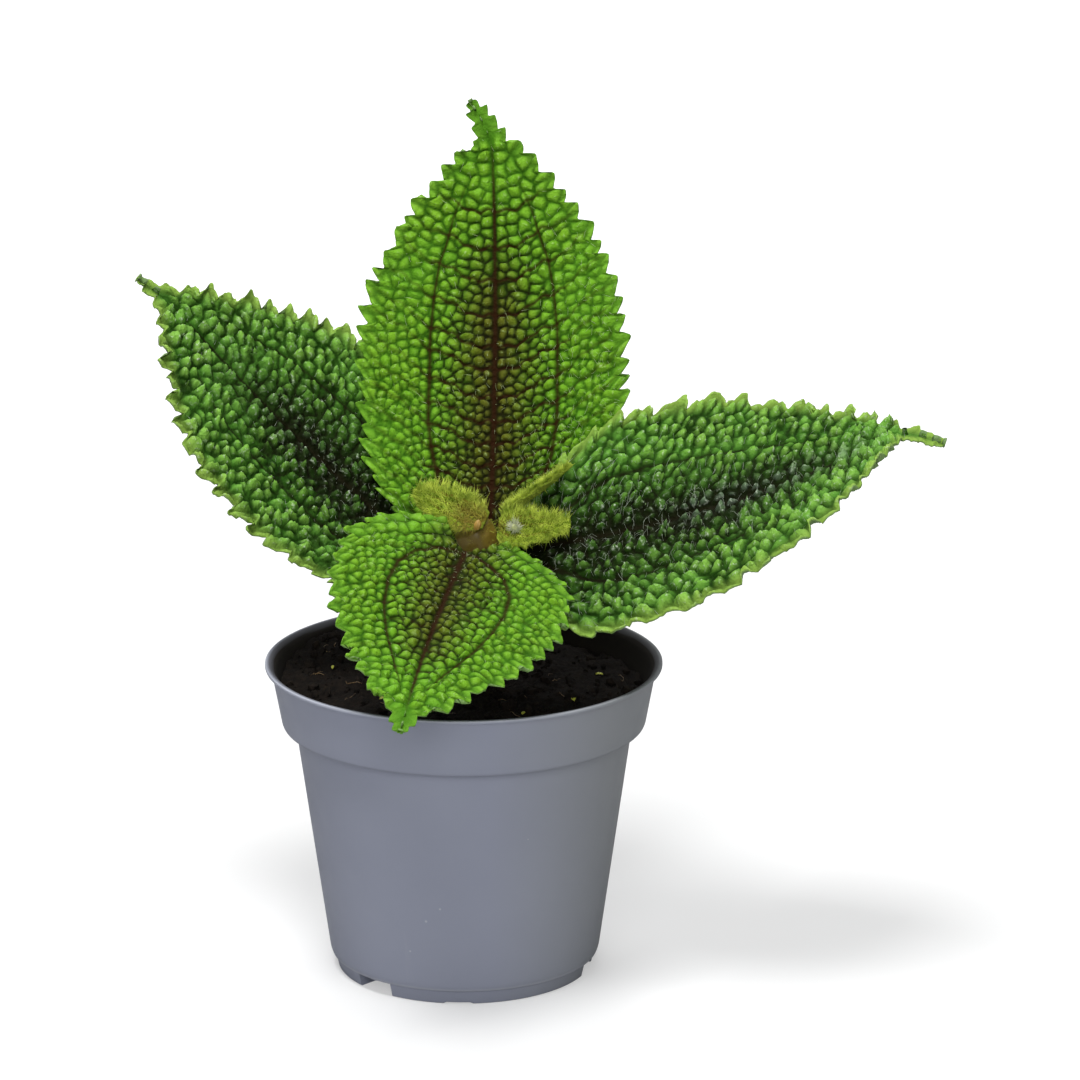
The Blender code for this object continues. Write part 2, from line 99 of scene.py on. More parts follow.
# Each blade: base, direction and bends of its midrib, size, outline and teeth; then how its
# blisters, colours and hairs look. half_widths, lobe, teeth and tooth_depth are (minus side,
# plus side), and teeth has each side's spacing (near base, near tip). lift is the (even,
# growing) bend, pitch the blisters' spacing (at base, at tip), downy the extra hairs (where it
# is brown, on the plus side). brown is its spread (minus side, plus side), strength and end.
BLADES = {
    "leaf_back": {
        "base": (4.0, 8.7, 68.0), "heading": 175.3, "rise": 60.5, "roll": 2.0,
        "lift": (7.6, 5.7), "sweep": -3.7, "tip_sweep": -29.4, "tip_lift": 0.9, "twist": 7.2,
        "length": 65.5, "half_widths": (20.6, 19.9), "fold": 0.03, "cup": -0.01,
        "lobe": (4.0, 4.0), "heel": 2.0, "downy": (0.25, 3.0),
        "outline": OVATE, "side_vein": SIDE_VEIN, "teeth": ((2.9, 3.3), (3.0, 3.3)),
        "tooth_depth": (1.7, 1.6), "rows": 285, "columns": 150, "pitch": (1.2, 2.25),
        "height": 0.92, "ridge": 0.2, "grain": 0.10, "peak": 0.2, "lean": 0.15, "skin": 0.42,
        "seed": 11, "brown": (11.0, 11.0, 1.0, 0.95),
        "ladder": 1.0, "sheen_and_hair": 0.0, "hairs": 1000, "hair_length": 1.2,
    },
    "leaf_left": {
        "base": (-7.4, 10.6, 62.7), "heading": 252.6, "rise": 38.7, "roll": 29.9,
        "lift": (3.7, 9.4), "sweep": 2.5, "tip_sweep": -17.2, "tip_lift": -4.8, "twist": -9.2,
        "length": 59.1, "half_widths": (20.2, 20.7), "fold": 0.13, "cup": -0.02,
        "lobe": (1.0, 1.0), "heel": 0.0, "downy": (1.4, 0.0),
        "outline": LEFT_OVATE, "side_vein": SIDE_VEIN, "teeth": ((4.1, 3.8), (3.4, 3.3)),
        "tooth_depth": (1.8, 1.9), "rows": 250, "columns": 150, "pitch": (1.6, 2.1), "height": 1.55,
        "ridge": 0.75, "grain": 0.2,
        "peak": 0.6, "lean": 0.45, "skin": 0.42, "seed": 23, "brown": (9.5, 11.0, 1.0, 0.88),
        "ladder": 0.5, "sheen_and_hair": 0.2, "hairs": 420, "hair_length": 0.9,
    },
    "leaf_right": {
        "base": (14.0, -2.4, 67.1), "heading": 72.7, "rise": 14.1, "roll": -46.5,
        "lift": (-12.3, 6.5), "sweep": -27.9, "tip_sweep": 42.9, "tip_lift": -26.7,
        "twist": 40.4, "length": 61.6, "half_widths": (21.4, 20.9), "fold": 0.13,
        "cup": -0.02, "lobe": (0.1, 3.5), "heel": 7.3, "downy": (1.8, 0.0),
        "outline": LONG_OVATE, "side_vein": SIDE_VEIN,
        "teeth": ((6.0, 4.2), (5.6, 4.8)), "tooth_depth": (2.0, 1.3), "rows": 255, "columns": 155,
        "pitch": (1.75, 2.25), "height": 1.6, "ridge": 0.75, "grain": 0.2,
        "peak": 0.6, "lean": 0.45, "skin": 0.42,
        "seed": 37, "brown": (8.5, 11.5, 1.0, 0.98), "ladder": 0.5, "sheen_and_hair": 1.0, "hairs": 560,
        "hair_length": 1.8,
    },
    "leaf_front": {
        "base": (0.2, -9.8, 67.4), "heading": -18.0, "rise": -23.8, "roll": 18.5,
        "lift": (1.4, 10.2), "sweep": -7.3, "tip_sweep": -0.1, "tip_lift": -17.4,
        "twist": -0.8, "length": 40.7, "half_widths": (17.7, 16.9), "fold": 0.11,
        "cup": 0.0, "lobe": (4.5, 4.8), "heel": 0.9, "downy": (0.5, 0.0),
        "outline": HEART, "side_vein": HEART_SIDE_VEIN,
        "teeth": ((3.1, 3.2), (3.3, 3.3)), "tooth_depth": (1.6, 1.6), "rows": 205, "columns": 150,
        "pitch": (1.15, 2.0), "height": 0.9, "ridge": 0.25, "grain": 0.10, "peak": 0.25,
        "lean": 0.2, "skin": 0.42, "seed": 41, "brown": (9.0, 8.5, 0.95, 0.95), "ladder": 0.6,
        "sheen_and_hair": 0.0, "hairs": 500, "hair_length": 0.7,
    },
    "young_leaf_left": {
        **YOUNG_BLADE,
        "base": (3.6, -1.8, 70.8), "heading": 257.5, "rise": 18.0, "roll": 40.0,
        "lift": (6.0, 0.0), "length": 11.8, "half_widths": (4.6, 2.5),
        "fold": 0.15, "cup": 0.10,
        "outline": YOUNG, "tooth_depth": (0.7, 0.7), "rows": 70, "columns": 44,
        "seed": 53, "brown": (2.6, 2.0, 0.9, 0.8), "hairs": 2000, "hair_length": 1.15,
    },
    "young_leaf_right": {
        **YOUNG_BLADE,
        "base": (5.3, -1.4, 69.7), "heading": 82.0, "rise": 3.0, "roll": -48.0,
        "lift": (6.0, 0.0), "length": 11.0, "half_widths": (2.2, 5.0),
        "fold": 0.12, "cup": 0.30,
        "outline": BOWL, "tooth_depth": (0.8, 0.8), "rows": 70, "columns": 50,
        "seed": 59, "brown": (1.4, 2.0, 0.8, 0.7), "hairs": 2000, "hair_length": 1.15,
    },
    "young_leaf_rear": {
        **YOUNG_BLADE,
        "base": (5.6, 1.5, 70.7), "heading": 94.0, "rise": 28.0, "roll": 14.0,
        "lift": (13.0, 0.0), "length": 13.0, "half_widths": (2.0, 2.0),
        "fold": 0.30, "cup": 0.0,
        "outline": YOUNG, "tooth_depth": (0.5, 0.5), "rows": 70, "columns": 30,
        "seed": 61, "brown": (0.6, 0.6, 0.5, 1.0), "hairs": 2200, "hair_length": 1.2,
    },
}
# Lean of the teeth, their spacing where the blade is narrow, and its least half width
TOOTH_LEAN = 0.8
TIP_TOOTH_PITCH = 1.9
TIP_HALF_WIDTH = 0.45

STEM = (
    (2.2, 1.2, 44.4, 2.5), (2.2, 1.2, 46.0, 2.3), (2.4, 1.1, 50.0, 2.0), (2.7, 1.0, 57.5, 2.2),
    (3.1, 0.8, 62.0, 2.1), (3.1, 0.4, 64.6, 2.9), (2.2, -0.2, 67.0, 3.1), (1.3, -0.4, 68.9, 2.9),
)
STALKS = {
    "leaf_left": ((1.6, 1.5, 55.4, 1.5), (-0.3, 2.1, 56.2, 1.3), (-3.2, 5.0, 57.8, 1.2)),
    "leaf_right": ((4.0, 0.9, 56.2, 1.5), (5.8, 0.6, 57.2, 1.3), (8.6, -0.8, 60.2, 1.2)),
    "leaf_back": ((3.1, 2.4, 57.4, 1.5), (3.6, 4.0, 58.6, 1.25), (3.9, 8.0, 61.4, 1.15)),
    "leaf_front": ((2.7, -0.3, 57.2, 1.5), (2.6, -2.0, 58.4, 1.25), (1.8, -6.0, 61.6, 1.15)),
}
STALK_END_RADIUS = 0.8

# Where the down is most golden, and how near and far that reaches
GOLDEN_CENTRE = (1.6, -4.0, 70.4)
GOLDEN_REACH = (1.2, 5.5)
FLUFFY_HAIR_RADIUS = 0.042
LEAF_HAIR_RADIUS = 0.028
STALK_HAIR_RADIUS = 0.035


def srgb(r, g, b):
    """Linear colour from everyday 0-255 values."""
    out = []
    for value in (r, g, b):
        value = value / 255.0
        out.append(value / 12.92 if value <= 0.04045 else ((value + 0.055) / 1.055) ** 2.4)
    return (*out, 1.0)


def unit(vectors):
    return vectors / np.linalg.norm(vectors, axis=-1, keepdims=True)


def smooth_step(value):
    value = np.clip(value, 0.0, 1.0)
    return value * value * (3.0 - 2.0 * value)


# ---------------------------------------------------------------- meshes


def mesh_object(name, points, faces, smooth=True):
    """Object from an array of points in millimetres and a list of face arrays."""
    mesh = bpy.data.meshes.new(name)
    points = np.asarray(points, float) * MM
    loops = np.concatenate([f.ravel() for f in faces]).astype(np.int32)
    sizes = np.concatenate([np.full(len(f), f.shape[1]) for f in faces]).astype(np.int32)
    mesh.vertices.add(len(points))
    mesh.vertices.foreach_set("co", points.ravel())
    mesh.loops.add(len(loops))
    mesh.loops.foreach_set("vertex_index", loops)
    mesh.polygons.add(len(sizes))
    starts = np.concatenate([[0], np.cumsum(sizes)[:-1]]).astype(np.int32)
    mesh.polygons.foreach_set("loop_start", starts)
    mesh.polygons.foreach_set("use_smooth", np.full(len(sizes), smooth))
    mesh.update(calc_edges=True)
    mesh.validate()
    made = bpy.data.objects.new(name, mesh)
    bpy.context.scene.collection.objects.link(made)
    return made


def add_values(made, name, values):
    layer = made.data.attributes.new(name, "FLOAT", "POINT")
    layer.data.foreach_set("value", np.asarray(values, np.float32).ravel())


def grid_faces(rows, columns, start=0, flip=False, wrap=False):
    index = start + np.arange(rows * columns).reshape(rows, columns)
    if wrap:
        index = np.concatenate([index, index[:, :1]], 1)
    quads = np.stack([index[:-1, :-1], index[:-1, 1:], index[1:, 1:], index[1:, :-1]], -1)
    quads = quads.reshape(-1, 4)
    return quads[:, ::-1] if flip else quads


def closed_faces(rows, sides):
    """Faces of rings that two end points close; the end points come after the rings."""
    first = np.arange(sides)
    last = first + (rows - 1) * sides
    end = np.full(sides, rows * sides)
    return [
        grid_faces(rows, sides, wrap=True)[:, ::-1],
        np.stack([first, np.roll(first, -1), end], -1),
        np.stack([np.roll(last, -1), last, end + 1], -1),
    ]


def ball_mesh(subdivisions):
    """Points and triangles of a ball of radius 1."""
    shape = bmesh.new()
    bmesh.ops.create_icosphere(shape, subdivisions=subdivisions, radius=1.0)
    points = np.array([v.co[:] for v in shape.verts])
    faces = np.array([[v.index for v in f.verts] for f in shape.faces])
    shape.free()
    return points, faces


def settle(made, material, replaces=()):
    made.data.materials.clear()
    made.data.materials.append(material)
    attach(made, "root")
    if replaces:
        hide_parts(*replaces)


# ---------------------------------------------------------------- leaf surface


def midrib(spec, stations=161):
    """Points along the midrib with side, upward and onward directions at each."""
    rise, heading, roll = np.radians([spec["rise"], spec["heading"], spec["roll"]])
    along = np.array([
        math.cos(rise) * math.sin(heading), -math.cos(rise) * math.cos(heading), math.sin(rise),
    ])
    level = -np.array([math.cos(heading), math.sin(heading), 0.0])
    up = np.cross(level, along)
    side = level * math.cos(roll) + up * math.sin(roll)
    axes = np.array([side, along, np.cross(side, along)])
    t = np.linspace(0.0, 1.0, stations)
    near_tip = smooth_step((t - 0.84) / 0.12)
    yaw = np.radians(spec["sweep"] * t + spec["tip_sweep"] * near_tip)
    pitch = np.radians(
        spec["lift"][0] * t + spec["lift"][1] * t * t + spec["tip_lift"] * near_tip
    )
    twist = np.radians(spec["twist"] * t)[:, None]
    run = np.stack([np.sin(yaw) * np.cos(pitch), np.cos(yaw) * np.cos(pitch), np.sin(pitch)], -1)
    flat = np.stack([np.cos(yaw), -np.sin(yaw), 0 * yaw], -1)
    normal = np.cross(flat, run)
    sides = (flat * np.cos(twist) + normal * np.sin(twist)) @ axes
    ups = (normal * np.cos(twist) - flat * np.sin(twist)) @ axes
    runs = run @ axes
    steps = (runs[1:] + runs[:-1]) / 2 * spec["length"] / (stations - 1)
    points = np.concatenate([[np.zeros(3)], np.cumsum(steps, 0)]) + np.array(spec["base"])
    return points, sides, ups, runs


def along_rib(table, place):
    """Linear reading of a table of vectors along the midrib."""
    share = np.clip(place, 0.0, 1.0) * (len(table) - 1)
    low = np.minimum(share.astype(int), len(table) - 2)
    return table[low] + (table[low + 1] - table[low]) * (share - low)[..., None]


def curve_at(stations, t):
    table = np.array(stations)
    return np.interp(t, table[:, 0], table[:, 1])


def half_width(spec, t, across):
    widths = np.where(across > 0, spec["half_widths"][1], spec["half_widths"][0])
    return np.maximum(curve_at(spec["outline"], t) * widths, TIP_HALF_WIDTH)


def flat_place(spec, t, across, outwards=0.0):
    """Where a leaf point lies on the flattened leaf, in millimetres: onward, sideways."""
    lobe = np.where(across > 0, spec["lobe"][1], spec["lobe"][0])
    back = lobe * np.abs(across) ** 1.5 * (1.0 - t) ** 3
    back = back + spec["heel"] * np.clip(1.0 - t / 0.09, 0.0, 1.0) ** 2
    width = half_width(spec, t, across) * np.abs(across) + outwards
    return t - back / spec["length"], width


def blade_points(spec, rib, t, across, outwards=0.0, forwards=0.0):
    points, sides, ups, runs = rib
    place, width = flat_place(spec, t, across, outwards)
    centre = along_rib(points, place)
    centre = centre + runs[0] * (np.minimum(place, 0.0) * spec["length"])[..., None]
    folded = np.sqrt(width * width + 0.5) - math.sqrt(0.5)
    lift = spec["fold"] * folded + spec["cup"] * width * width * 2 / sum(spec["half_widths"])
    sideways = (np.sign(across) * width)[..., None] * along_rib(sides, place)
    onward = np.broadcast_to(np.asarray(forwards, float), t.shape)[..., None]
    return centre + sideways + lift[..., None] * along_rib(ups, place) + (
        onward * along_rib(runs, place)
    )


def tooth_counts(spec):
    """Running number of teeth along both margins, by length of margin."""
    stations = np.linspace(0.0, 1.0, 1201)
    counts = []
    for side, (near_base, near_tip) in zip((-1.0, 1.0), spec["teeth"]):
        across = np.full(stations.shape, side)
        place, width = flat_place(spec, stations, across)
        step = np.hypot(np.diff(place) * spec["length"], np.diff(width))
        pitch = near_base + (near_tip - near_base) * stations
        broad = smooth_step((half_width(spec, stations, across) - 1.0) / 2.5)
        pitch = TIP_TOOTH_PITCH + (pitch - TIP_TOOTH_PITCH) * broad
        count = np.concatenate([[0.0], np.cumsum(step / pitch[1:])])
        counts.append(count * round(count[-1]) / count[-1])
    return stations, counts


def tooth_wave(spec, t, across):
    """How far the margin stands out and leans forward because of its teeth."""
    chance = np.random.default_rng(spec["seed"] + 5)
    stations, counts = tooth_counts(spec)
    out = np.zeros(t.shape)
    for side, count in zip((-1.0, 1.0), counts):
        total = round(count[-1])
        sizes = chance.uniform(0.62, 1.25, total + 1)
        slip = chance.uniform(-0.2, 0.2, total + 1)
        crest = chance.uniform(0.64, 0.8, total + 1)
        turn = np.interp(t, stations, count)
        turn = turn + np.interp(turn, np.arange(total + 1), slip)
        turn = np.clip(turn, 0.0, total - 1e-6)
        which = turn.astype(int)
        phase = turn - which
        top = crest[which]
        climb = np.clip(phase / top, 0, 1)
        rising = 0.5 * np.sin(np.pi / 2 * climb) ** 1.25 + 0.5 * climb
        falling = np.clip((1.0 - phase) / (1.0 - top), 0, 1) ** 0.8
        wave = np.where(phase < top, rising, falling) * sizes[which]
        out = np.where((across > 0) == (side > 0), wave, out)
    scale = np.clip(0.38 + half_width(spec, t, across) / 9.0, 0.0, 1.0)
    ends = smooth_step(t / 0.03) * smooth_step((1.0 - t) / 0.015)
    return out * scale * ends


def side_vein_at(spec, t, across):
    widths = np.where(across > 0, spec["half_widths"][1], spec["half_widths"][0])
    return curve_at(spec["side_vein"], t) * widths


def arch(width):
    """How far a row of blisters has climbed by the time it is this far from the midrib."""
    return 0.20 * width + 0.020 * width * width


def blister_seeds(spec):
    """Centres of the blisters on the flattened leaf, with their row and a marginal flag."""
    chance = np.random.default_rng(spec["seed"])
    length = spec["length"]
    found = []
    for side in (-1.0, 1.0):
        row = -17.0
        number = 0
        sign = np.array(side)
        while row < length:
            share = min(max(row / length, 0.0), 1.0)
            pitch = spec["pitch"][0] + (spec["pitch"][1] - spec["pitch"][0]) * share
            number += 1
            reach = pitch * chance.uniform(0.45, 0.65)
            while reach < 24.0:
                t = (row + arch(reach)) / length
                edge = float(half_width(spec, min(max(t, 0.0), 1.0), sign))
                if t > 1.0 or (t > 0.0 and reach > edge - 0.55 * pitch):
                    break
                if t > -0.03:
                    vein = float(side_vein_at(spec, min(max(t, 0.0), 1.0), sign))
                    gap = reach - vein
                    if t < 0.7 and abs(gap) < 0.35 * pitch:
                        reach = vein + math.copysign(0.42 * pitch, gap)
                    found.append((t, side * reach, number, 0))
                reach += pitch * chance.uniform(0.82, 1.2) * (1.0 + 0.12 * reach / max(edge, 1.0))
            row += pitch * 0.98
        stations, counts = tooth_counts(spec)
        count = counts[int(side > 0)]
        for k in range(round(count[-1])):
            for phase, step in ((0.62, 0.25), (0.1, -0.15)):
                t = float(np.interp(k + phase, count, stations))
                edge = float(half_width(spec, t, np.array(side)))
                found.append((t, side * (edge + step), -k - 1, 1))
    found = np.array(found)
    t = np.clip(found[:, 0], 0.0, 1.0)
    across = found[:, 1] / half_width(spec, t, found[:, 1])
    place, width = flat_place(spec, t, across)
    onward = (place + found[:, 0] - t) * length
    flat = np.stack([onward, np.sign(across) * width], -1)
    loose = np.where(found[:, 3:4] > 0, 0.1, 0.2 + 0.1 * spec["ridge"]) * spec["pitch"][0]
    flat = flat + chance.normal(0.0, 1.0, flat.shape) * loose
    return flat, found[:, 2], found[:, 3]


def nearest_two(flat, seeds):
    """Distance to the nearest and second nearest seed, and which they are."""
    near = np.empty(len(flat))
    second = np.empty(len(flat))
    who = np.empty((len(flat), 2), int)
    for start in range(0, len(flat), 3000):
        part = flat[start:start + 3000]
        gap = np.hypot(part[:, None, 0] - seeds[None, :, 0], part[:, None, 1] - seeds[None, :, 1])
        order = np.argpartition(gap, 1, axis=1)[:, :2]
        pair = np.take_along_axis(gap, order, 1)
        swap = pair[:, 0] > pair[:, 1]
        order[swap] = order[swap][:, ::-1]
        pair.sort(1)
        near[start:start + 3000] = pair[:, 0]
        second[start:start + 3000] = pair[:, 1]
        who[start:start + 3000] = order
    return near, second, who


def rung_lines(spec):
    """Where the ladder of cross veins leaves the midrib, in millimetres along it."""
    chance = np.random.default_rng(spec["seed"] + 3)
    lines = []
    place = -13.0
    while place < spec["length"] * 0.8:
        lines.append(place)
        share = max(place, 0.0) / spec["length"]
        place += (2.6 + 4.6 * share) * chance.uniform(0.8, 1.25)
    return np.array(lines)


def leaf_fields(spec, t, across):
    """Relief and marking values over the leaf's grid."""
    length = spec["length"]
    place, width = flat_place(spec, t, across)
    signed = np.sign(across) * width
    flat = np.stack([(place * length).ravel(), signed.ravel()], -1)
    chance = np.random.default_rng(spec["seed"] + 9)
    bend = np.stack([
        np.sin(flat[:, 1] * 1.9 + flat[:, 0] * 0.9), np.sin(flat[:, 0] * 1.7 - flat[:, 1] * 0.8),
    ], -1) * 0.14
    seeds, row, marginal = blister_seeds(spec)
    near, second, who = nearest_two(flat + bend, seeds)
    shape = t.shape
    pitch = spec["pitch"][0] + (spec["pitch"][1] - spec["pitch"][0]) * t
    pitch = pitch * (1.0 + 0.12 * smooth_step(np.abs(across) / 0.8))
    split = (second - near).reshape(shape) / pitch
    reach = (2.0 * near / (near + second)).reshape(shape)
    joined = (row[who[:, 0]] == row[who[:, 1]]) & (marginal[who].sum(1) == 0)
    joined = joined.reshape(shape) * spec["ridge"]
    valley = np.sqrt(np.clip((1.0 - reach) / 0.42, 0.0, 1.0))
    valley = valley + (1.0 - valley) * joined
    dome = (0.10 + 0.90 * valley) * (1.0 - 0.58 * reach ** 2)
    cone = (0.05 + 0.95 * valley) * (1.0 - 0.75 * reach ** 1.3)
    swell = (1.0 - spec["peak"]) * dome + spec["peak"] * cone
    size = chance.uniform(0.5, 1.3, len(seeds))
    tint = chance.uniform(0.0, 1.0, len(seeds))
    cell = who[:, 0]

    half = half_width(spec, t, across)
    slim = smooth_step((half - 1.6) / 3.0)
    edge = smooth_step((np.abs(across) * half - half + 2.4) / 2.4)
    vein_gap = np.abs(np.abs(signed) - side_vein_at(spec, t, across))
    fade = 1.0 - smooth_step((t - 0.66) / 0.2)
    mid_width = 0.46 * (1.0 - 0.7 * t) + 0.10
    side_width = 0.48 * (1.0 - 0.8 * t)
    mid = (1.0 - smooth_step(np.abs(signed) / mid_width / 1.5)) * slim
    side = (1.0 - smooth_step(vein_gap / side_width / 1.5)) * fade * smooth_step(t / 0.02)
    vein = np.maximum(mid * (1.0 - 0.6 * smooth_step((t - 0.74) / 0.14)), side * 0.92)

    wobble = 0.35 * np.sin(signed * 0.9 + spec["seed"]) + 0.2 * np.sin(signed * 2.3)
    climb = place * length - arch(np.abs(signed)) + wobble
    lines = rung_lines(spec)
    order = np.clip(np.searchsorted(lines, climb.ravel()), 1, len(lines) - 1)
    gap = np.minimum(np.abs(climb.ravel() - lines[order - 1]), np.abs(lines[order] - climb.ravel()))
    gap = gap.reshape(shape)
    rung = (1.0 - smooth_step(gap / 0.50)) * (1.0 - smooth_step((t - 0.72) / 0.16))
    inner = 1.0 - smooth_step((np.abs(signed) - side_vein_at(spec, t, across)) / 3.0)
    rung = rung * (0.55 + 0.45 * inner) * (1.0 - edge) * spec["ladder"]

    trough = np.minimum(
        smooth_step((np.abs(signed) - 0.1) / (mid_width * 3.0)),
        1.0 - (1.0 - smooth_step(vein_gap / (side_width * 2.8))) * fade,
    )
    trough = np.minimum(trough, 1.0 - 0.7 * rung)
    heights = swell * size[cell].reshape(shape) * (0.22 + 0.78 * trough)
    heights = heights * (1.0 - 0.30 * edge) * (0.35 + 0.65 * slim)
    grain = np.sin(flat[:, 0] * 7.3 + 2.0 * np.sin(flat[:, 1] * 4.1))
    grain = grain * np.sin(flat[:, 1] * 6.7 + 2.0 * np.sin(flat[:, 0] * 5.3))
    heights = heights * (1.0 + spec["grain"] * grain.reshape(shape))
    groove = (1.0 - smooth_step(split / 0.34)) * slim * (1.0 - joined)
    near_side, far_side, top, end = spec["brown"]
    spread = np.where(across > 0, far_side, near_side)
    brown = np.exp(-(np.abs(signed) / (spread * (1.2 - 0.7 * t))) ** 2)
    brown = brown * (1.0 - smooth_step((t - end + 0.5) / 0.5)) * top
    # Pale band along the midrib: partly the leaf's pale hairs, partly painted sheen
    sheen_and_hair = np.exp(-(signed / 2.4) ** 2) * smooth_step((t - 0.22) / 0.2) * slim
    sheen_and_hair = sheen_and_hair * (1.0 - smooth_step((t - 0.78) / 0.08)) * spec["sheen_and_hair"]
    return {
        "height": heights, "groove": groove, "vein": vein, "ladder": rung, "brown": brown,
        "edge": edge, "cell": tint[cell].reshape(shape), "sheen_and_hair": sheen_and_hair,
    }


def leaf_grid(spec):
    rows, columns = spec["rows"], spec["columns"]
    fine = np.linspace(0.0, 1.0, 2001)
    broad = half_width(spec, fine, np.ones(2001))
    steps = np.hypot(np.diff(fine) * spec["length"], 0.75 * np.diff(broad))
    walked = np.concatenate([[0.0], np.cumsum(steps)])
    t = np.interp(np.linspace(0.0, walked[-1], rows), walked, fine)
    t = t[:, None] * np.ones(columns)[None]
    across = np.linspace(-1.0, 1.0, columns)[None] * np.ones(rows)[:, None]
    wave = tooth_wave(spec, t, across)
    half = half_width(spec, t, across)
    near_edge = smooth_step((np.abs(across) * half - half + 2.8) / 2.8)
    depth = np.where(across > 0, spec["tooth_depth"][1], spec["tooth_depth"][0])
    outwards = (wave * depth - 0.28 * depth) * near_edge
    forwards = wave * TOOTH_LEAN * depth / 1.6 * near_edge
    base = blade_points(spec, midrib(spec), t, across, outwards, forwards)
    down = np.gradient(base, axis=0)
    over = np.gradient(base, axis=1)
    return t, across, base, unit(np.cross(over, down)), unit(down)


def make_leaf(name, material):
    """Thin blistered blade, hollow under each blister, with its veins raised below."""
    spec = BLADES[name]
    t, across, base, normal, onward = leaf_grid(spec)
    fields = leaf_fields(spec, t, across)
    swing = 0.22 * np.sin(t * 23.0 + across * 2.0) * np.abs(across) ** 2
    rise = fields["height"] * spec["height"]
    high = rise - 0.35 * spec["height"] + swing
    skin = spec["skin"] * (1.0 - 0.45 * fields["edge"])
    keel = 0.45 * np.exp(-((across * half_width(spec, t, across)) / 0.55) ** 2) * (1.0 - t)
    top = base + normal * (high + skin / 2)[..., None] + onward * (rise * spec["lean"])[..., None]
    low = rise * 0.75 - 0.35 * spec["height"] + swing
    bottom = base + normal * (low - skin / 2 - keel)[..., None]
    bottom = bottom + onward * (rise * spec["lean"])[..., None]
    rows, columns = t.shape
    count = rows * columns
    index = np.arange(count).reshape(rows, columns)
    ring = np.concatenate([
        index[0, :], index[1:, -1], index[-1, -2::-1], index[-2:0:-1, 0],
    ])
    following = np.roll(ring, -1)
    wall = np.stack([ring, ring + count, following + count, following], -1)
    made = mesh_object(
        name + "_blade",
        np.concatenate([top.reshape(-1, 3), bottom.reshape(-1, 3)]),
        [grid_faces(rows, columns), grid_faces(rows, columns, count, flip=True), wall],
    )
    for key in ("groove", "vein", "ladder", "brown", "edge", "cell", "sheen_and_hair"):
        values = fields[key].ravel()
        add_values(made, key, np.concatenate([values, values]))
    add_values(made, "rise", np.concatenate([fields["height"].ravel()] * 2))
    add_values(made, "under", np.concatenate([np.zeros(count), np.ones(count)]))
    settle(made, material, (name,))


# ---------------------------------------------------------------- hairs


def hair_object(name, roots, tips, bends, radius, material):
    """Bent three-sided hairs, two lengths each, from roots through bends to tips."""
    count = len(roots)
    run = unit(tips - roots)
    guide = np.where(np.abs(run[:, 2:3]) < 0.9, [[0.0, 0.0, 1.0]], [[1.0, 0.0, 0.0]])
    one = unit(np.cross(run, guide))
    two = np.cross(run, one)
    rings = []
    for centre, size in ((roots, 1.0), (bends, 0.75)):
        for k in range(3):
            angle = 2 * math.pi * k / 3
            offset = one * math.cos(angle) + two * math.sin(angle)
            rings.append(centre + offset * radius * size)
    points = np.stack([*rings, tips], 1).reshape(-1, 3)
    start = (np.arange(count) * 7)[:, None]
    quads = []
    points_up = []
    for k in range(3):
        after = (k + 1) % 3
        quads.append(start + np.array([[k, after, after + 3, k + 3]]))
        points_up.append(start + np.array([[k + 3, after + 3, 6]]))
    made = mesh_object(name, points, [np.concatenate(quads), np.concatenate(points_up)])
    settle(made, material)


def leaf_hairs(name, material, fluffy=False):
    spec = BLADES[name]
    chance = np.random.default_rng(spec["seed"] + 17)
    t, across, base, normal, onward = leaf_grid(spec)
    fields = leaf_fields(spec, t, across)
    centre, one_side = spec["downy"]
    weight = 0.08 + fields["brown"] * centre * (1.0 - t) ** 3
    weight = weight + one_side * np.clip(across, 0.0, 1.0) * (1.0 - t) ** 3
    if fluffy:
        weight = 0.8 + 0.8 * fields["edge"]
    area = half_width(spec, t, across) * weight
    area[:3] = 0.0
    area[-3:] = 0.0
    pick = chance.choice(area.size, spec["hairs"], p=(area / area.sum()).ravel())
    rise = fields["height"] * spec["height"]
    high = rise - 0.35 * spec["height"] + spec["skin"] / 2 - 0.08
    roots = base + normal * high[..., None] + onward * (rise * spec["lean"])[..., None]
    roots = roots.reshape(-1, 3)[pick]
    up = normal.reshape(-1, 3)[pick]
    ahead = onward.reshape(-1, 3)[pick]
    outward = unit(np.gradient(base, axis=1).reshape(-1, 3)[pick])
    outward *= np.sign(across.ravel()[pick])[:, None]
    if fluffy:
        under = chance.random(len(pick)) < 0.25
        up[under] *= -1.0
    lean = ahead * chance.normal(0.35, 0.35, (len(pick), 1))
    lean = lean + outward * chance.normal(0.15, 0.35, (len(pick), 1))
    if fluffy:
        lean = lean + outward * (fields["edge"].ravel()[pick] * 1.2)[:, None]
    reach = chance.uniform(0.4, 1.3, (len(pick), 1)) * spec["hair_length"]
    if fluffy:
        lean = lean + chance.normal(0.0, 0.3, (len(pick), 3))
    run = unit(up * 0.8 + lean)
    droop = lean * 0.6 + chance.normal(0.0, 0.15, (len(pick), 3))
    bends = roots + run * reach * 0.5
    tips = roots + run * reach * 0.95 + droop * reach * 0.5
    radius = FLUFFY_HAIR_RADIUS if fluffy else LEAF_HAIR_RADIUS
    hair_object(name + "_hairs", roots, tips, bends, radius, material)


# ---------------------------------------------------------------- stem and stalks


def smooth_line(stations, steps):
    """Catmull-Rom line through points that carry a radius."""
    table = np.array(stations, float)
    table = np.concatenate([[2 * table[0] - table[1]], table, [2 * table[-1] - table[-2]]])
    out = []
    spans = len(table) - 3
    for k in range(spans):
        a, b, c, d = table[k:k + 4]
        for s in np.linspace(0.0, 1.0, steps, endpoint=(k == spans - 1)):
            out.append(0.5 * (
                2 * b + (c - a) * s + (2 * a - 5 * b + 4 * c - d) * s * s
                + (3 * b - a - 3 * c + d) * s ** 3
            ))
    return np.array(out)


